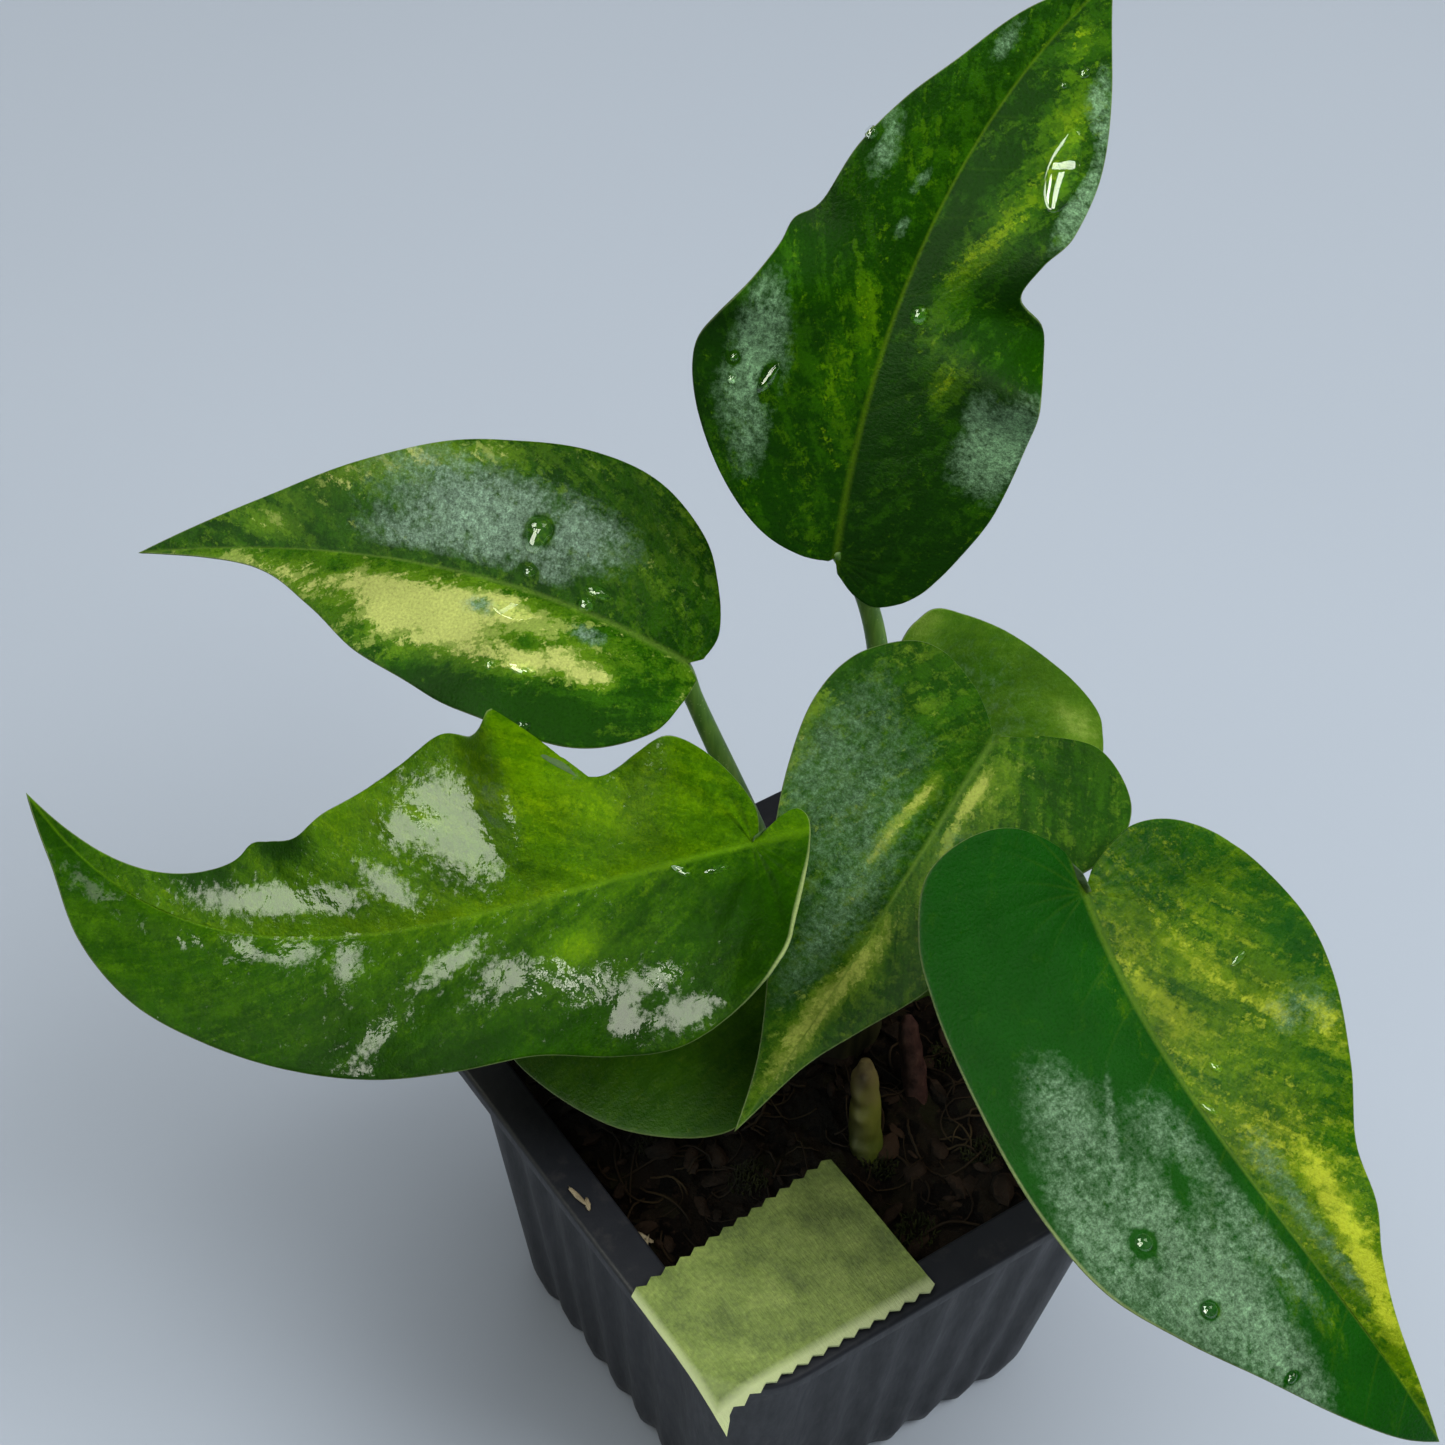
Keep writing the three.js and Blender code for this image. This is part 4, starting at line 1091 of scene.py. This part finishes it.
def pot_piece():
    under_rim = POT_HEIGHT - RIM_DEPTH
    rings = [
        square_ring(0, BASE_HALF_WIDTH, WALL_CORNER_RADIUS, FLUTE_DEPTH),
        square_ring(FOOT_ROUND_HEIGHT, FOOT_ROUND_HALF_WIDTH, WALL_CORNER_RADIUS, FOOT_FLUTE_DEPTH),
    ]
    for share in np.linspace(0, 1, WALL_STEPS):
        height = lerp(FOOT_HEIGHT, under_rim, share)
        width = lerp(WALL_FOOT_HALF_WIDTH, WALL_TOP_HALF_WIDTH, share)
        rings.append(square_ring(height, width, WALL_CORNER_RADIUS, FLUTE_DEPTH))
    rings.append(square_ring(under_rim, RIM_HALF_WIDTH - RIM_ROUNDING / 2, RIM_CORNER_RADIUS))
    rings += rim_edge(RIM_HALF_WIDTH, RIM_CORNER_RADIUS, True)
    rings += rim_edge(MOUTH_HALF_WIDTH, MOUTH_CORNER_RADIUS, False)
    rings.append(square_ring(FLOOR_THICKNESS, FLOOR_HALF_WIDTH, MOUTH_CORNER_RADIUS))
    points = np.concatenate(rings + [[(0, 0, 0)], [(0, 0, FLOOR_THICKNESS)]])
    faces = stack_faces(len(rings), len(rings[0]))
    make_piece("pot_shell", points, faces, pot_material(), "pot_plastic", "pot", sharp=35)


def soil_level(x, y):
    """Height of the soil's surface with its lumps and crumbs."""
    level = SOIL_LEVEL
    for speed_x, speed_y, start, height in SOIL_WAVES:
        level = level + height * np.sin(speed_x * x + speed_y * y + start)
    for height, scale, seed in SOIL_LUMPS:
        level = level + height * (value_noise(x * scale, y * scale, seed) - 0.5)
    return level


def mouth_width_at(height):
    """Half width of the pot's inside at a height."""
    share = (height - FLOOR_THICKNESS) / (POT_HEIGHT - RIM_ROUNDING - FLOOR_THICKNESS)
    return lerp(FLOOR_HALF_WIDTH, MOUTH_HALF_WIDTH, share)


def soil_material():
    s = Shader("potting_mix")
    place = s.place()
    lumps = s.cells(place, 420)
    grey = s.node("RGBToBW", {0: lumps}, 0)
    color = s.ramp(grey, (0.2, 0.0015, 0.001, 0.0008), (0.45, 0.004, 0.0025, 0.0015),
                   (0.7, 0.011, 0.007, 0.004), (0.95, 0.01, 0.01, 0.003))
    crumbs = s.noise(place, 1100, detail=5, rough=0.7)
    color = s.blend(s.range(crumbs, 0.56, 0.75, 0.0, 0.6), color, (0.05, 0.03, 0.018))
    roughness = s.range(crumbs, 0.3, 0.7, 0.6, 0.95)
    return s.finish(color, roughness, normal=s.bump(crumbs, 0.0008, 0.9), specular=0.1)


def soil_piece():
    """The mix in the pot, its rough surface drawn in square rings that shrink to the middle."""
    bottom = FLOOR_THICKNESS + FIT_GAP
    rings = [square_ring(bottom, mouth_width_at(bottom) - FIT_GAP, MOUTH_CORNER_RADIUS)]
    width = mouth_width_at(SOIL_LEVEL) - FIT_GAP
    for ring in range(SOIL_RINGS):
        spread = 1 - ring / SOIL_RINGS
        level = square_ring(0, width * spread, MOUTH_CORNER_RADIUS * spread)
        level[:, 2] = soil_level(level[:, 0], level[:, 1])
        rings.append(level)
    points = np.concatenate(rings + [[(0, 0, bottom)], [(0, 0, soil_level(0, 0))]])
    faces = stack_faces(len(rings), len(rings[0]))
    make_piece("mix_surface", points, faces, soil_material(), "potting_mix", "soil")


def joined(parts):
    """One set of points and faces from several."""
    points, faces, count = [], [], 0
    for some_points, some_faces in parts:
        points.append(np.asarray(some_points, float))
        faces.extend([tuple(corner + count for corner in face) for face in some_faces])
        count += len(some_points)
    return np.concatenate(points), faces


def lump(size, seed, rings=6, sides=9):
    """A small rough body of about the given half sizes, with its faces."""
    points = []
    for ring in range(1, rings):
        tilt = math.pi * ring / rings
        for side in range(sides):
            angle = 2 * math.pi * side / sides
            level = (math.sin(tilt) * math.cos(angle), math.sin(tilt) * math.sin(angle))
            way = np.array([*level, math.cos(tilt)])
            rough = 0.72 + 0.5 * float(scatter(ring * 3.1, side * 1.7, seed))
            points.append(way * rough * np.asarray(size))
    points.append(np.array([0, 0, size[2]]))
    points.append(np.array([0, 0, -size[2]]))
    faces = [tuple(reversed(face)) for face in stack_faces(rings - 1, sides)]
    return np.array(points), faces


def turned(points, z_turn, tilt=0.0):
    """Points tilted about X and then turned about Z."""
    turn = Matrix.Rotation(z_turn, 3, "Z") @ Matrix.Rotation(tilt, 3, "X")
    return points @ np.array(turn).T


def soil_spot(reach):
    """A random place on the soil."""
    width = mouth_width_at(SOIL_LEVEL) * reach
    return chance.uniform(-width, width), chance.uniform(-width, width)


def bark_material():
    s = Shader("bark_bits")
    place = s.place()
    grain = s.noise(s.scaled(place, (1, 1, 0.4)), 700, detail=5, rough=0.7)
    patch = s.noise(place, 130, detail=2)
    color = s.ramp(patch, (0.35, 0.004, 0.0025, 0.0015), (0.5, 0.012, 0.007, 0.004),
                   (0.7, 0.035, 0.019, 0.01))
    color = s.blend(s.range(grain, 0.5, 0.75, 0.0, 0.4), color, (0.05, 0.032, 0.02))
    return s.finish(color, 0.85, normal=s.bump(grain, 0.0006, 0.9), specular=0.15)


def bark_piece():
    parts = []
    for number in range(BARK_COUNT):
        x, y = soil_spot(0.94)
        length = chance.uniform(0.6, 2.4)
        size = (length, length * chance.uniform(0.35, 0.7), length * chance.uniform(0.2, 0.4))
        points, faces = lump(size, number)
        points = turned(points, chance.uniform(0, 2 * math.pi), chance.uniform(-0.5, 0.5))
        parts.append((points + (x, y, float(soil_level(x, y)) + size[2] * 0.35), faces))
    make_piece("bark_bits", *joined(parts), bark_material(), "potting_mix", sharp=40)


def fibre(x, y, length, radius, lift):
    """A thin curved thread that lies over the soil."""
    heading = chance.uniform(0, 2 * math.pi)
    bend = chance.uniform(-0.35, 0.35)
    line = []
    for step in range(FIBRE_STEPS):
        ground = float(soil_level(x, y))
        arch = lift * math.sin(math.pi * step / (FIBRE_STEPS - 1))
        line.append((x, y, ground + radius + arch))
        heading += bend
        x += math.cos(heading) * length / FIBRE_STEPS
        y += math.sin(heading) * length / FIBRE_STEPS
    limit = mouth_width_at(SOIL_LEVEL) - 1
    line = np.clip(line, (-limit, -limit, 0), (limit, limit, POT_HEIGHT))
    return tube(line, radius, FIBRE_SIDES)


def fibre_material():
    s = Shader("fibre")
    shade = s.noise(s.place(), 90, detail=2)
    color = s.ramp(shade, (0.35, 0.01, 0.006, 0.003), (0.55, 0.026, 0.016, 0.007), (0.72, 0.06, 0.042, 0.016))
    return s.finish(color, 0.8, specular=0.15)


def fibre_piece():
    parts = []
    for _ in range(FIBRE_COUNT):
        x, y = soil_spot(0.9)
        parts.append(fibre(x, y, chance.uniform(3, 11), chance.uniform(0.07, 0.2), chance.uniform(0, 0.9)))
    make_piece("fibres", *joined(parts), fibre_material(), "moss_and_fibre")


# Clumps of moss on the soil: place in the pot's frame and half width
MOSS_CLUMPS = [(-14.2, -8.6, 2.6), (1.1, -15.2, 2.2), (-1.5, -26, 2.6), (-22.4, 1.8, 1.6), (17.6, -6.1, 1.8),
               (12.3, -21, 2.4), (24, 14, 2.8), (4, 25, 2.5), (-20, 22, 2.6)]


def moss_material():
    s = Shader("moss")
    shade = s.noise(s.place(), 500, detail=3)
    color = s.ramp(shade, (0.35, 0.008, 0.01, 0.0025), (0.55, 0.022, 0.027, 0.006),
                   (0.75, 0.045, 0.05, 0.014))
    return s.finish(color, 0.85, specular=0.15)


def moss_piece():
    """Tufts of short curved threads standing up from the soil."""
    parts = []
    for clump_x, clump_y, reach in MOSS_CLUMPS:
        for _ in range(int(MOSS_THREADS_PER_MM * reach)):
            angle = chance.uniform(0, 2 * math.pi)
            spread = reach * math.sqrt(chance.random())
            x, y = clump_x + spread * math.cos(angle), clump_y + spread * math.sin(angle)
            ground = float(soil_level(x, y))
            height = chance.uniform(0.5, 1.5) * (1.2 - 0.6 * spread / reach)
            lean_x, lean_y = chance.uniform(-0.6, 0.6), chance.uniform(-0.6, 0.6)
            line = [(x + lean_x * t ** 2, y + lean_y * t ** 2, ground - 0.2 + (height + 0.2) * t)
                    for t in MOSS_STOPS]
            parts.append(tube(line, MOSS_RADII, 4))
    make_piece("moss_tufts", *joined(parts), moss_material(), "moss_and_fibre")


# Bits of pale chaff on the rim and at the soil's edge, in the pot's frame: place, length and turn
CHAFF_BITS = [(-35.6, -3, 58.2, 3.4, 1.7), (-35.2, -4.6, 58.2, 2.2, 1.2), (-31.2, -8.4, 52.6, 3.8, 1.3),
              (-30.6, -10.4, 52.9, 3.2, 0.7), (-30.9, -6.4, 52.4, 2.6, 2.2), (-29.8, -9.2, 52.5, 2.8, 1.9)]


def chaff_material():
    s = Shader("chaff")
    streaks = s.noise(s.place(), 700, detail=3)
    color = s.ramp(streaks, (0.3, 0.2, 0.15, 0.08), (0.7, 0.42, 0.34, 0.2))
    return s.finish(color, 0.7, normal=s.bump(streaks, 0.0002, 0.5))


def chaff_piece():
    parts = []
    for number, (x, y, z, length, turn) in enumerate(CHAFF_BITS):
        points, faces = lump((length / 2, 0.32, 0.13), number + 300, rings=8, sides=8)
        points[:, 2] += 0.06 * points[:, 0] ** 2
        parts.append((turned(points, turn) + (x, y, z), faces))
    make_piece("chaff_bits", *joined(parts), chaff_material(), "chaff")


def crown_material():
    # Dark olive-brown skin, darkened as painted shade where the crown sits in the shadow of the leaves.
    s = Shader("crown_skin_in_painted_shade")
    place = s.place()
    streaks = s.noise(s.scaled(place, (1, 1, 0.12)), 800, detail=4)
    color = s.ramp(streaks, (0.3, 0.008, 0.008, 0.003), (0.5, 0.022, 0.022, 0.007),
                   (0.75, 0.05, 0.045, 0.016))
    return s.finish(color, 0.55, normal=s.bump(streaks, 0.0003, 0.7))


def ringed_body(centre, profile, sides, roughness, seed):
    """A lumpy upright stem through (height, radius) pairs."""
    rings = []
    angles = np.arange(sides) / sides * 2 * np.pi
    ways = np.column_stack([np.cos(angles), np.sin(angles)])
    for height, radius in profile:
        noise = value_noise(ways[:, 0] * 3 + 9, ways[:, 1] * 3 + height * 0.3, seed) - 0.5
        ring = ways * (radius + roughness * noise)[:, None] + centre
        rings.append(np.column_stack([ring, np.full(sides, float(height))]))
    low, high = rings[0].mean(0), rings[-1].mean(0)
    return np.concatenate(rings + [[low], [high]]), stack_faces(len(rings), sides)


def crown_piece():
    points, faces = ringed_body(np.array(CROWN_PLACE, float), CROWN_PROFILE, CROWN_SIDES, 1.1, 21)
    make_piece("crown_stem", to_pot(points), faces, crown_material(), "crown", "crown")


# The two stubs in the plant's own frame, with the radius at root, foot, shoulder and top
STUB_SIDES = 26
STUB_MARKS = (0, 0.28, 0.88, 1)
STUBS = {
    "pale_stub": {"foot": (8.4, -8.8, -6.5), "top": (7.3, -3, 3.3), "radii": (1.8, 2.3, 1.6, 0.6)},
    "brown_stub": {"foot": (14.5, -0.6, -6.5), "top": (12.6, 5, 2.4), "radii": (1.4, 1.7, 1.3, 0.5)},
}


def pale_shoot_material():
    s = Shader("pale_shoot")
    place = s.place()
    up_share = s.range(s.parts(place)[2], 0.051, 0.0613)
    cloud = s.noise(place, 500, detail=4)
    tone = s.plus(up_share, s.times(s.minus(cloud, 0.5), 0.5))
    color = s.ramp(tone, (0.1, 0.08, 0.1, 0.012), (0.55, 0.23, 0.23, 0.034), (0.85, 0.26, 0.2, 0.07),
                   (1.0, 0.12, 0.085, 0.036))
    return s.finish(color, 0.55, normal=s.bump(cloud, 0.0003, 0.5), specular=0.15)


def brown_root_material():
    s = Shader("brown_root")
    cloud = s.noise(s.place(), 600, detail=5, rough=0.65)
    color = s.ramp(cloud, (0.3, 0.02, 0.009, 0.007), (0.55, 0.05, 0.022, 0.016), (0.8, 0.1, 0.052, 0.034))
    return s.finish(color, 0.75, normal=s.bump(cloud, 0.0005, 0.7), specular=0.15)


def stub_piece(name, material, slot):
    stub = STUBS[name]
    foot, top = (np.array(stub[key], float) for key in ("foot", "top"))
    lean = unit(top - foot)
    shoulder = top - lean * stub["radii"][2]
    stops = [foot - lean * 4, foot, shoulder, top]
    shares = np.linspace(0, 1, 40)
    line = np.stack([np.interp(shares, STUB_MARKS, [p[axis] for p in stops]) for axis in range(3)], -1)
    radii = np.interp(shares, STUB_MARKS, stub["radii"])
    points, faces = tube(line, radii, STUB_SIDES)
    ripple = value_noise(points[:, 0] * 0.9 + 40, points[:, 2] * 0.9, 31) - 0.5
    middle = np.repeat(line, STUB_SIDES, axis=0)
    outwards = points[:len(middle)] - middle
    points[:len(middle)] += outwards * (0.28 * ripple[:len(middle)])[:, None]
    make_piece(name + "_skin", to_pot(points), faces, material, slot, name)


# Tape across the pot's front corner, in the pot's frame; its outer corner is drawn out to a point
TAPE_LEFT, TAPE_RIGHT, TAPE_FRONT = -38, -7.2, -36.8
TAPE_BACK_AT_LEFT, TAPE_BACK_AT_RIGHT = -17.8, -14.8
TAPE_CORNER_POINT = 2
TAPE_CORNER_REACH = 1.3
TAPE_THICKNESS = 0.3
TAPE_MIDDLE_LIFT = 0.8
TAPE_TEETH = 14
TOOTH_DEPTH = 0.6
TAPE_BEND = 0.55
TAPE_COLUMNS_PER_TOOTH = 8
TAPE_ROWS = 48


def outside_rim(x, y):
    """How far a place lies outside the rim's rounded square."""
    straight = RIM_HALF_WIDTH - RIM_CORNER_RADIUS
    past_x = np.maximum(np.abs(x) - straight, 0)
    past_y = np.maximum(np.abs(y) - straight, 0)
    return np.hypot(past_x, past_y) - RIM_CORNER_RADIUS


def tape_height(x, y):
    """Height of the tape's middle sheet: flat on the rim and bent down past its edge."""
    past = np.maximum(0, outside_rim(x, y) - FIT_GAP)
    waves = 0.16 * (value_noise(x * 0.35, y * 0.35, 41) - 0.5)
    crinkle = 0.05 * (value_noise(x * 1.6, y * 0.8, 42) - 0.5)
    return POT_HEIGHT + TAPE_MIDDLE_LIFT - TAPE_BEND * past + (waves + crinkle)


def tape_material():
    """Green crepe paper tape: fine crinkles, mottled where it lies on what is dark, with a painted highlight
    along two sides.
    """
    s = Shader("masking_tape")
    spot = s.field("tape_place", vector=True)
    from_left, from_front, _ = s.parts(spot)
    crepe = s.noise(s.scaled(spot, (3.2, 0.7, 1)), 1, detail=4, rough=0.6)
    cloud = s.noise(spot, 0.16, detail=5, rough=0.6)
    color = s.ramp(cloud, (0.34, 0.07, 0.11, 0.014), (0.5, 0.155, 0.22, 0.033), (0.68, 0.235, 0.305, 0.058))
    color = s.blend(s.range(crepe, 0.35, 0.7, 0.0, 0.22), color, (0.36, 0.44, 0.13))
    specks = s.noise(spot, 1.6, detail=4, rough=0.7)
    color = s.brighten(color, s.range(specks, 0.3, 0.7, 0.68, 1.28))
    # A painted highlight along the left and front sides, where the tape bends down over the rim.
    left_highlight = s.range(from_left, 0.3, 1.2, 0.65, 0.0)
    front_highlight = s.range(from_front, 1.0, 2.2, 0.75, 0.0)
    color = s.blend(s.math("MAXIMUM", left_highlight, front_highlight), color, (0.56, 0.62, 0.3))
    return s.finish(color, s.range(crepe, 0.3, 0.7, 0.55, 0.75), normal=s.bump(crepe, 0.0002, 0.7))


def tape_piece():
    columns = TAPE_TEETH * TAPE_COLUMNS_PER_TOOTH
    shares = np.linspace(0, 1, columns + 1)
    x = lerp(TAPE_LEFT, TAPE_RIGHT, shares)
    tooth = TOOTH_DEPTH * np.abs(2 * np.mod(shares * TAPE_TEETH, 1) - 1)
    rows = np.linspace(0, 1, TAPE_ROWS + 1)[:, None]
    point = TAPE_CORNER_POINT * np.maximum(0, 1 - (x - TAPE_LEFT) / TAPE_CORNER_REACH)
    front = TAPE_FRONT + tooth - point
    back = lerp(TAPE_BACK_AT_LEFT, TAPE_BACK_AT_RIGHT, shares) - tooth
    y = lerp(front, back, rows)
    x = np.broadcast_to(x, y.shape)
    sheet = np.stack([x, y, tape_height(x, y)], -1).reshape(-1, 3)
    near = (np.arange(TAPE_ROWS)[:, None] * (columns + 1) + np.arange(columns)).ravel()
    far = near + columns + 1
    triangles = np.concatenate([np.stack([near, near + 1, far + 1], -1), np.stack([near, far + 1, far], -1)])
    count = len(sheet)
    normals = vertex_normals(sheet, triangles)
    upper = sheet + normals * TAPE_THICKNESS / 2
    lower = sheet - normals * TAPE_THICKNESS / 2
    faces = triangles.tolist() + (triangles[:, ::-1] + count).tolist() + rim_strip(triangles, count)
    points = np.concatenate([upper, lower])
    piece = make_piece("tape_strip", points, faces, tape_material(), "masking_tape", "tape", sharp=40)
    spot = np.stack([sheet[:, 0] - TAPE_LEFT, sheet[:, 1] - TAPE_FRONT, 0 * sheet[:, 0]], -1)
    vector_field(piece.data, "tape_place", np.concatenate([spot, spot]))


# Water on the leaves: the leaf, its flat place (across, negative on the left, and along), half sizes across
# and along, turn in radians, height, and how far it draws out into a tail
DROPS = [
    ("upright_leaf", 2.6, 31, 1, 1.15, 0, 0.75, 0),
    ("upright_leaf", 9.6, 51.6, 1.8, 4.4, 0.25, 0.32, 0.3),
    ("upright_leaf", -10.3, 45.6, 0.7, 0.7, 0, 0.6, 0),
    ("upright_leaf", -11.6, 20.4, 0.7, 1.6, -0.4, 0.5, 0.4),
    ("upright_leaf", -15.6, 22, 0.5, 0.5, 0, 0.35, 0),
    ("upright_leaf", -15.3, 19.8, 0.45, 0.45, 0, 0.3, 0),
    ("upright_leaf", 5.2, 62.5, 0.6, 0.8, 0, 0.4, 0),
    ("upright_leaf", 4.3, 60, 0.45, 0.45, 0, 0.3, 0),
    ("rear_left_leaf", 7.2, 21, 1.6, 1.6, 1.57, 1, 0.9),
    ("rear_left_leaf", 2.2, 20.6, 0.8, 0.8, 0, 0.5, 0),
    ("rear_left_leaf", -3.4, 20.6, 1.1, 2.6, 0, 0.16, 0),
    ("rear_left_leaf", 0.9, 13.2, 1, 1, 0, 0.6, 0),
    ("rear_left_leaf", 2.7, 12.4, 0.8, 1.6, 0, 0.6, 0),
    ("rear_left_leaf", -10.8, 20.3, 0.8, 0.8, 0, 0.5, 0),
    ("rear_left_leaf", -10.2, 16.4, 0.9, 1.9, 0, 0.6, 0.2),
    ("rear_left_leaf", -16.5, 13.5, 0.6, 0.9, 0, 0.4, 0),
    ("front_left_leaf", -2.3, 4.6, 0.5, 1.3, 0, 0.4, 0.3),
    ("front_left_leaf", -1.5, 8.3, 0.5, 1.2, -0.8, 0.4, 0.3),
    ("front_right_leaf", -12.3, 14.3, 1.3, 0.6, 0.4, 0.5, 0),
    ("front_right_leaf", -4, 23.8, 0.5, 0.9, 0.3, 0.4, 0),
    ("front_right_leaf", -0.9, 27.2, 0.45, 1.2, 0.4, 0.4, 0),
    ("front_right_leaf", 14.8, 35, 1, 1, 0, 0.6, 0),
    ("front_right_leaf", 13.2, 43.8, 0.9, 0.9, 0, 0.5, 0),
    ("front_right_leaf", 10.3, 53.8, 0.8, 0.5, 0.3, 0.4, 0),
]
DROP_SIDES = 36
DROP_RINGS = 9
DROP_DOME_REACH = 0.9


def water_material():
    s = Shader("water")
    ripple = s.noise(s.place(), 300, detail=1)
    normal = s.bump(ripple, 0.00002, 0.2)
    return s.finish((0.97, 0.99, 1, 1), 0.03, normal=normal, transmission=1.0, ior=1.33, coat=0.45,
                    coat_ior=2.1, coat_roughness=0.02)


def drop_mesh(blade, drop):
    """A low dome of water on the blade's upper skin, with a flat underside."""
    _, side, along, half_across, half_along, turn, height, tail = drop
    hand = 1 if side < 0 else -1
    away = np.array(abs(side), float)
    relief = blade.relief(hand, away, np.array(along, float), blade.margin(hand, away, along))
    skin = BLADE_HALF_THICKNESS + float(relief)
    angles = np.arange(DROP_SIDES) / DROP_SIDES * 2 * np.pi
    reach = 1 + tail * np.maximum(np.cos(angles - np.pi / 2), 0) ** 6
    foot = math.sqrt(1 - DROP_DOME_REACH ** 2)
    upper, lower = [], []
    for ring in [0.02, *np.linspace(0.15, 1, DROP_RINGS)]:
        local_x = half_across * ring * reach * np.cos(angles)
        local_y = half_along * ring * reach * np.sin(angles)
        across = np.abs(side + local_x * math.cos(turn) - local_y * math.sin(turn))
        forward = along + local_x * math.sin(turn) + local_y * math.cos(turn)
        way = blade.normal(hand + 0 * across, across, forward)
        spot = blade.place(hand, across, forward) + way * skin
        dome = height * (math.sqrt(1 - (DROP_DOME_REACH * ring) ** 2) - foot) / (1 - foot)
        upper.append(spot + way * (dome + 0.03))
        lower.append(spot - way * 0.03)
    stack = lower + upper[::-1]
    points = np.concatenate(stack + [[stack[0].mean(0)], [stack[-1].mean(0)]])
    return to_pot(points), stack_faces(len(stack), DROP_SIDES)


def drops_piece(blades):
    parts = [drop_mesh(blades[drop[0]], drop) for drop in DROPS]
    make_piece("water_drops", *joined(parts), water_material(), "water")


FLOOR_REACH = 4


def floor_stage():
    mesh = bpy.data.meshes.new("floor")
    corners = [(x * FLOOR_REACH, y * FLOOR_REACH, 0) for x, y in ((-1, -1), (1, -1), (1, 1), (-1, 1))]
    mesh.from_pydata(corners, [], [(0, 1, 2, 3)])
    s = Shader("pale_floor")
    cloud = s.noise(s.place(), 4, detail=2)
    color = s.ramp(cloud, (0.3, 0.49, 0.54, 0.6), (0.7, 0.51, 0.56, 0.62))
    mesh.materials.append(s.finish(color, 0.9))
    add_object("floor", mesh)


# Lights: the way to each from the plant's middle in the plant's own frame, its distance and size in metres,
# its power, and whether it shows in mirror-like reflections only or serves for all the rest
PLANT_MIDDLE = Vector((0, 0, 0.075))
WORLD_COLOR = (0.85, 0.92, 1.0)
WORLD_STRENGTH = 0.045
ROOM_COLOR = (0.94, 0.97, 1.0)
GLINT_COLOR = (0.98, 1.0, 0.85)
LIGHTS = [
    ("ceiling_light", (0.1, -0.05, 1), 1.1, 1.3, 12, False),
    ("side_light", (0.62, -0.2, 0.78), 0.9, 0.5, 4.3, False),
    ("left_light", (-0.5, -0.1, 0.86), 0.9, 0.6, 1.0, False),
    ("left_window", (-0.63, -0.6, 0.48), 0.9, 0.56, 7.6, True),
    ("rear_left_window", (-0.64, 0.04, 0.77), 0.9, 0.4, 3.8, True),
    ("upper_window", (0.36, 0.05, 0.93), 0.9, 0.42, 1.2, True),
    ("front_window", (-0.17, -0.58, 0.8), 0.9, 0.16, 0.8, True),
    ("small_lamp", (-0.45, -0.45, 0.77), 0.9, 0.1, 0.5, True),
]


def add_light(name, way, distance, size, power, glints):
    """An area light that looks at the plant's middle."""
    data = bpy.data.lights.new(name, "AREA")
    data.size = size
    data.energy = power
    data.color = GLINT_COLOR if glints else ROOM_COLOR
    light = add_object(name, data)
    way = Matrix.Rotation(PLANT_TURN, 3, "Z") @ Vector(way).normalized()
    light.location = PLANT_MIDDLE + way * distance
    light.rotation_euler = way.to_track_quat("Z", "Y").to_euler()
    light.visible_glossy = glints
    light.visible_diffuse = not glints


def set_world():
    world = bpy.data.worlds.new("studio")
    world.use_nodes = True
    background = world.node_tree.nodes["Background"]
    background.inputs["Color"].default_value = (*WORLD_COLOR, 1)
    background.inputs["Strength"].default_value = WORLD_STRENGTH
    bpy.context.scene.world = world


# Camera, in the plant's own frame: where it stands (millimetres from the rim plane's centre), how far it
# looks down, how far it is rolled, and its focal length in pixels of the photograph
CAMERA_PLACE = (-13.3, -226.3, 301.7)
CAMERA_DOWN = math.radians(47)
CAMERA_ROLL = math.radians(4.2)
CAMERA_FOCAL_PIXELS = 3000
IMAGE_PIXELS = 1445
SENSOR_WIDTH = 36


def add_camera():
    """The photograph's view of the plant."""
    data = bpy.data.cameras.new("camera")
    data.sensor_width = SENSOR_WIDTH
    data.lens = SENSOR_WIDTH * CAMERA_FOCAL_PIXELS / IMAGE_PIXELS
    data.clip_start = 0.01
    data.clip_end = 20
    camera = add_object("camera", data)
    look = Vector((0, math.cos(CAMERA_DOWN), -math.sin(CAMERA_DOWN)))
    right = Vector((1, 0, 0))
    up = right.cross(look)
    side = right * math.cos(CAMERA_ROLL) + up * math.sin(CAMERA_ROLL)
    above = up * math.cos(CAMERA_ROLL) - right * math.sin(CAMERA_ROLL)
    turn = Matrix((side, above, -look)).transposed()
    camera.matrix_world = (Matrix.Rotation(PLANT_TURN, 3, "Z") @ turn).to_4x4()
    camera.location = to_pot(CAMERA_PLACE) * MM
    bpy.context.scene.camera = camera


add_camera()
set_world()
for light in LIGHTS:
    add_light(*light)
floor_stage()
pot_piece()
soil_piece()
bark_piece()
fibre_piece()
moss_piece()
chaff_piece()
crown_piece()
stub_piece("pale_stub", pale_shoot_material(), "pale_shoot")
stub_piece("brown_stub", brown_root_material(), "brown_root")
stalk = petiole_material()
blades = {}
for leaf_name in LEAVES:
    blades[leaf_name] = blade_piece(leaf_name)
    petiole_piece(leaf_name, stalk)
tape_piece()
drops_piece(blades)
bpy.context.scene.view_settings.view_transform = "Standard"
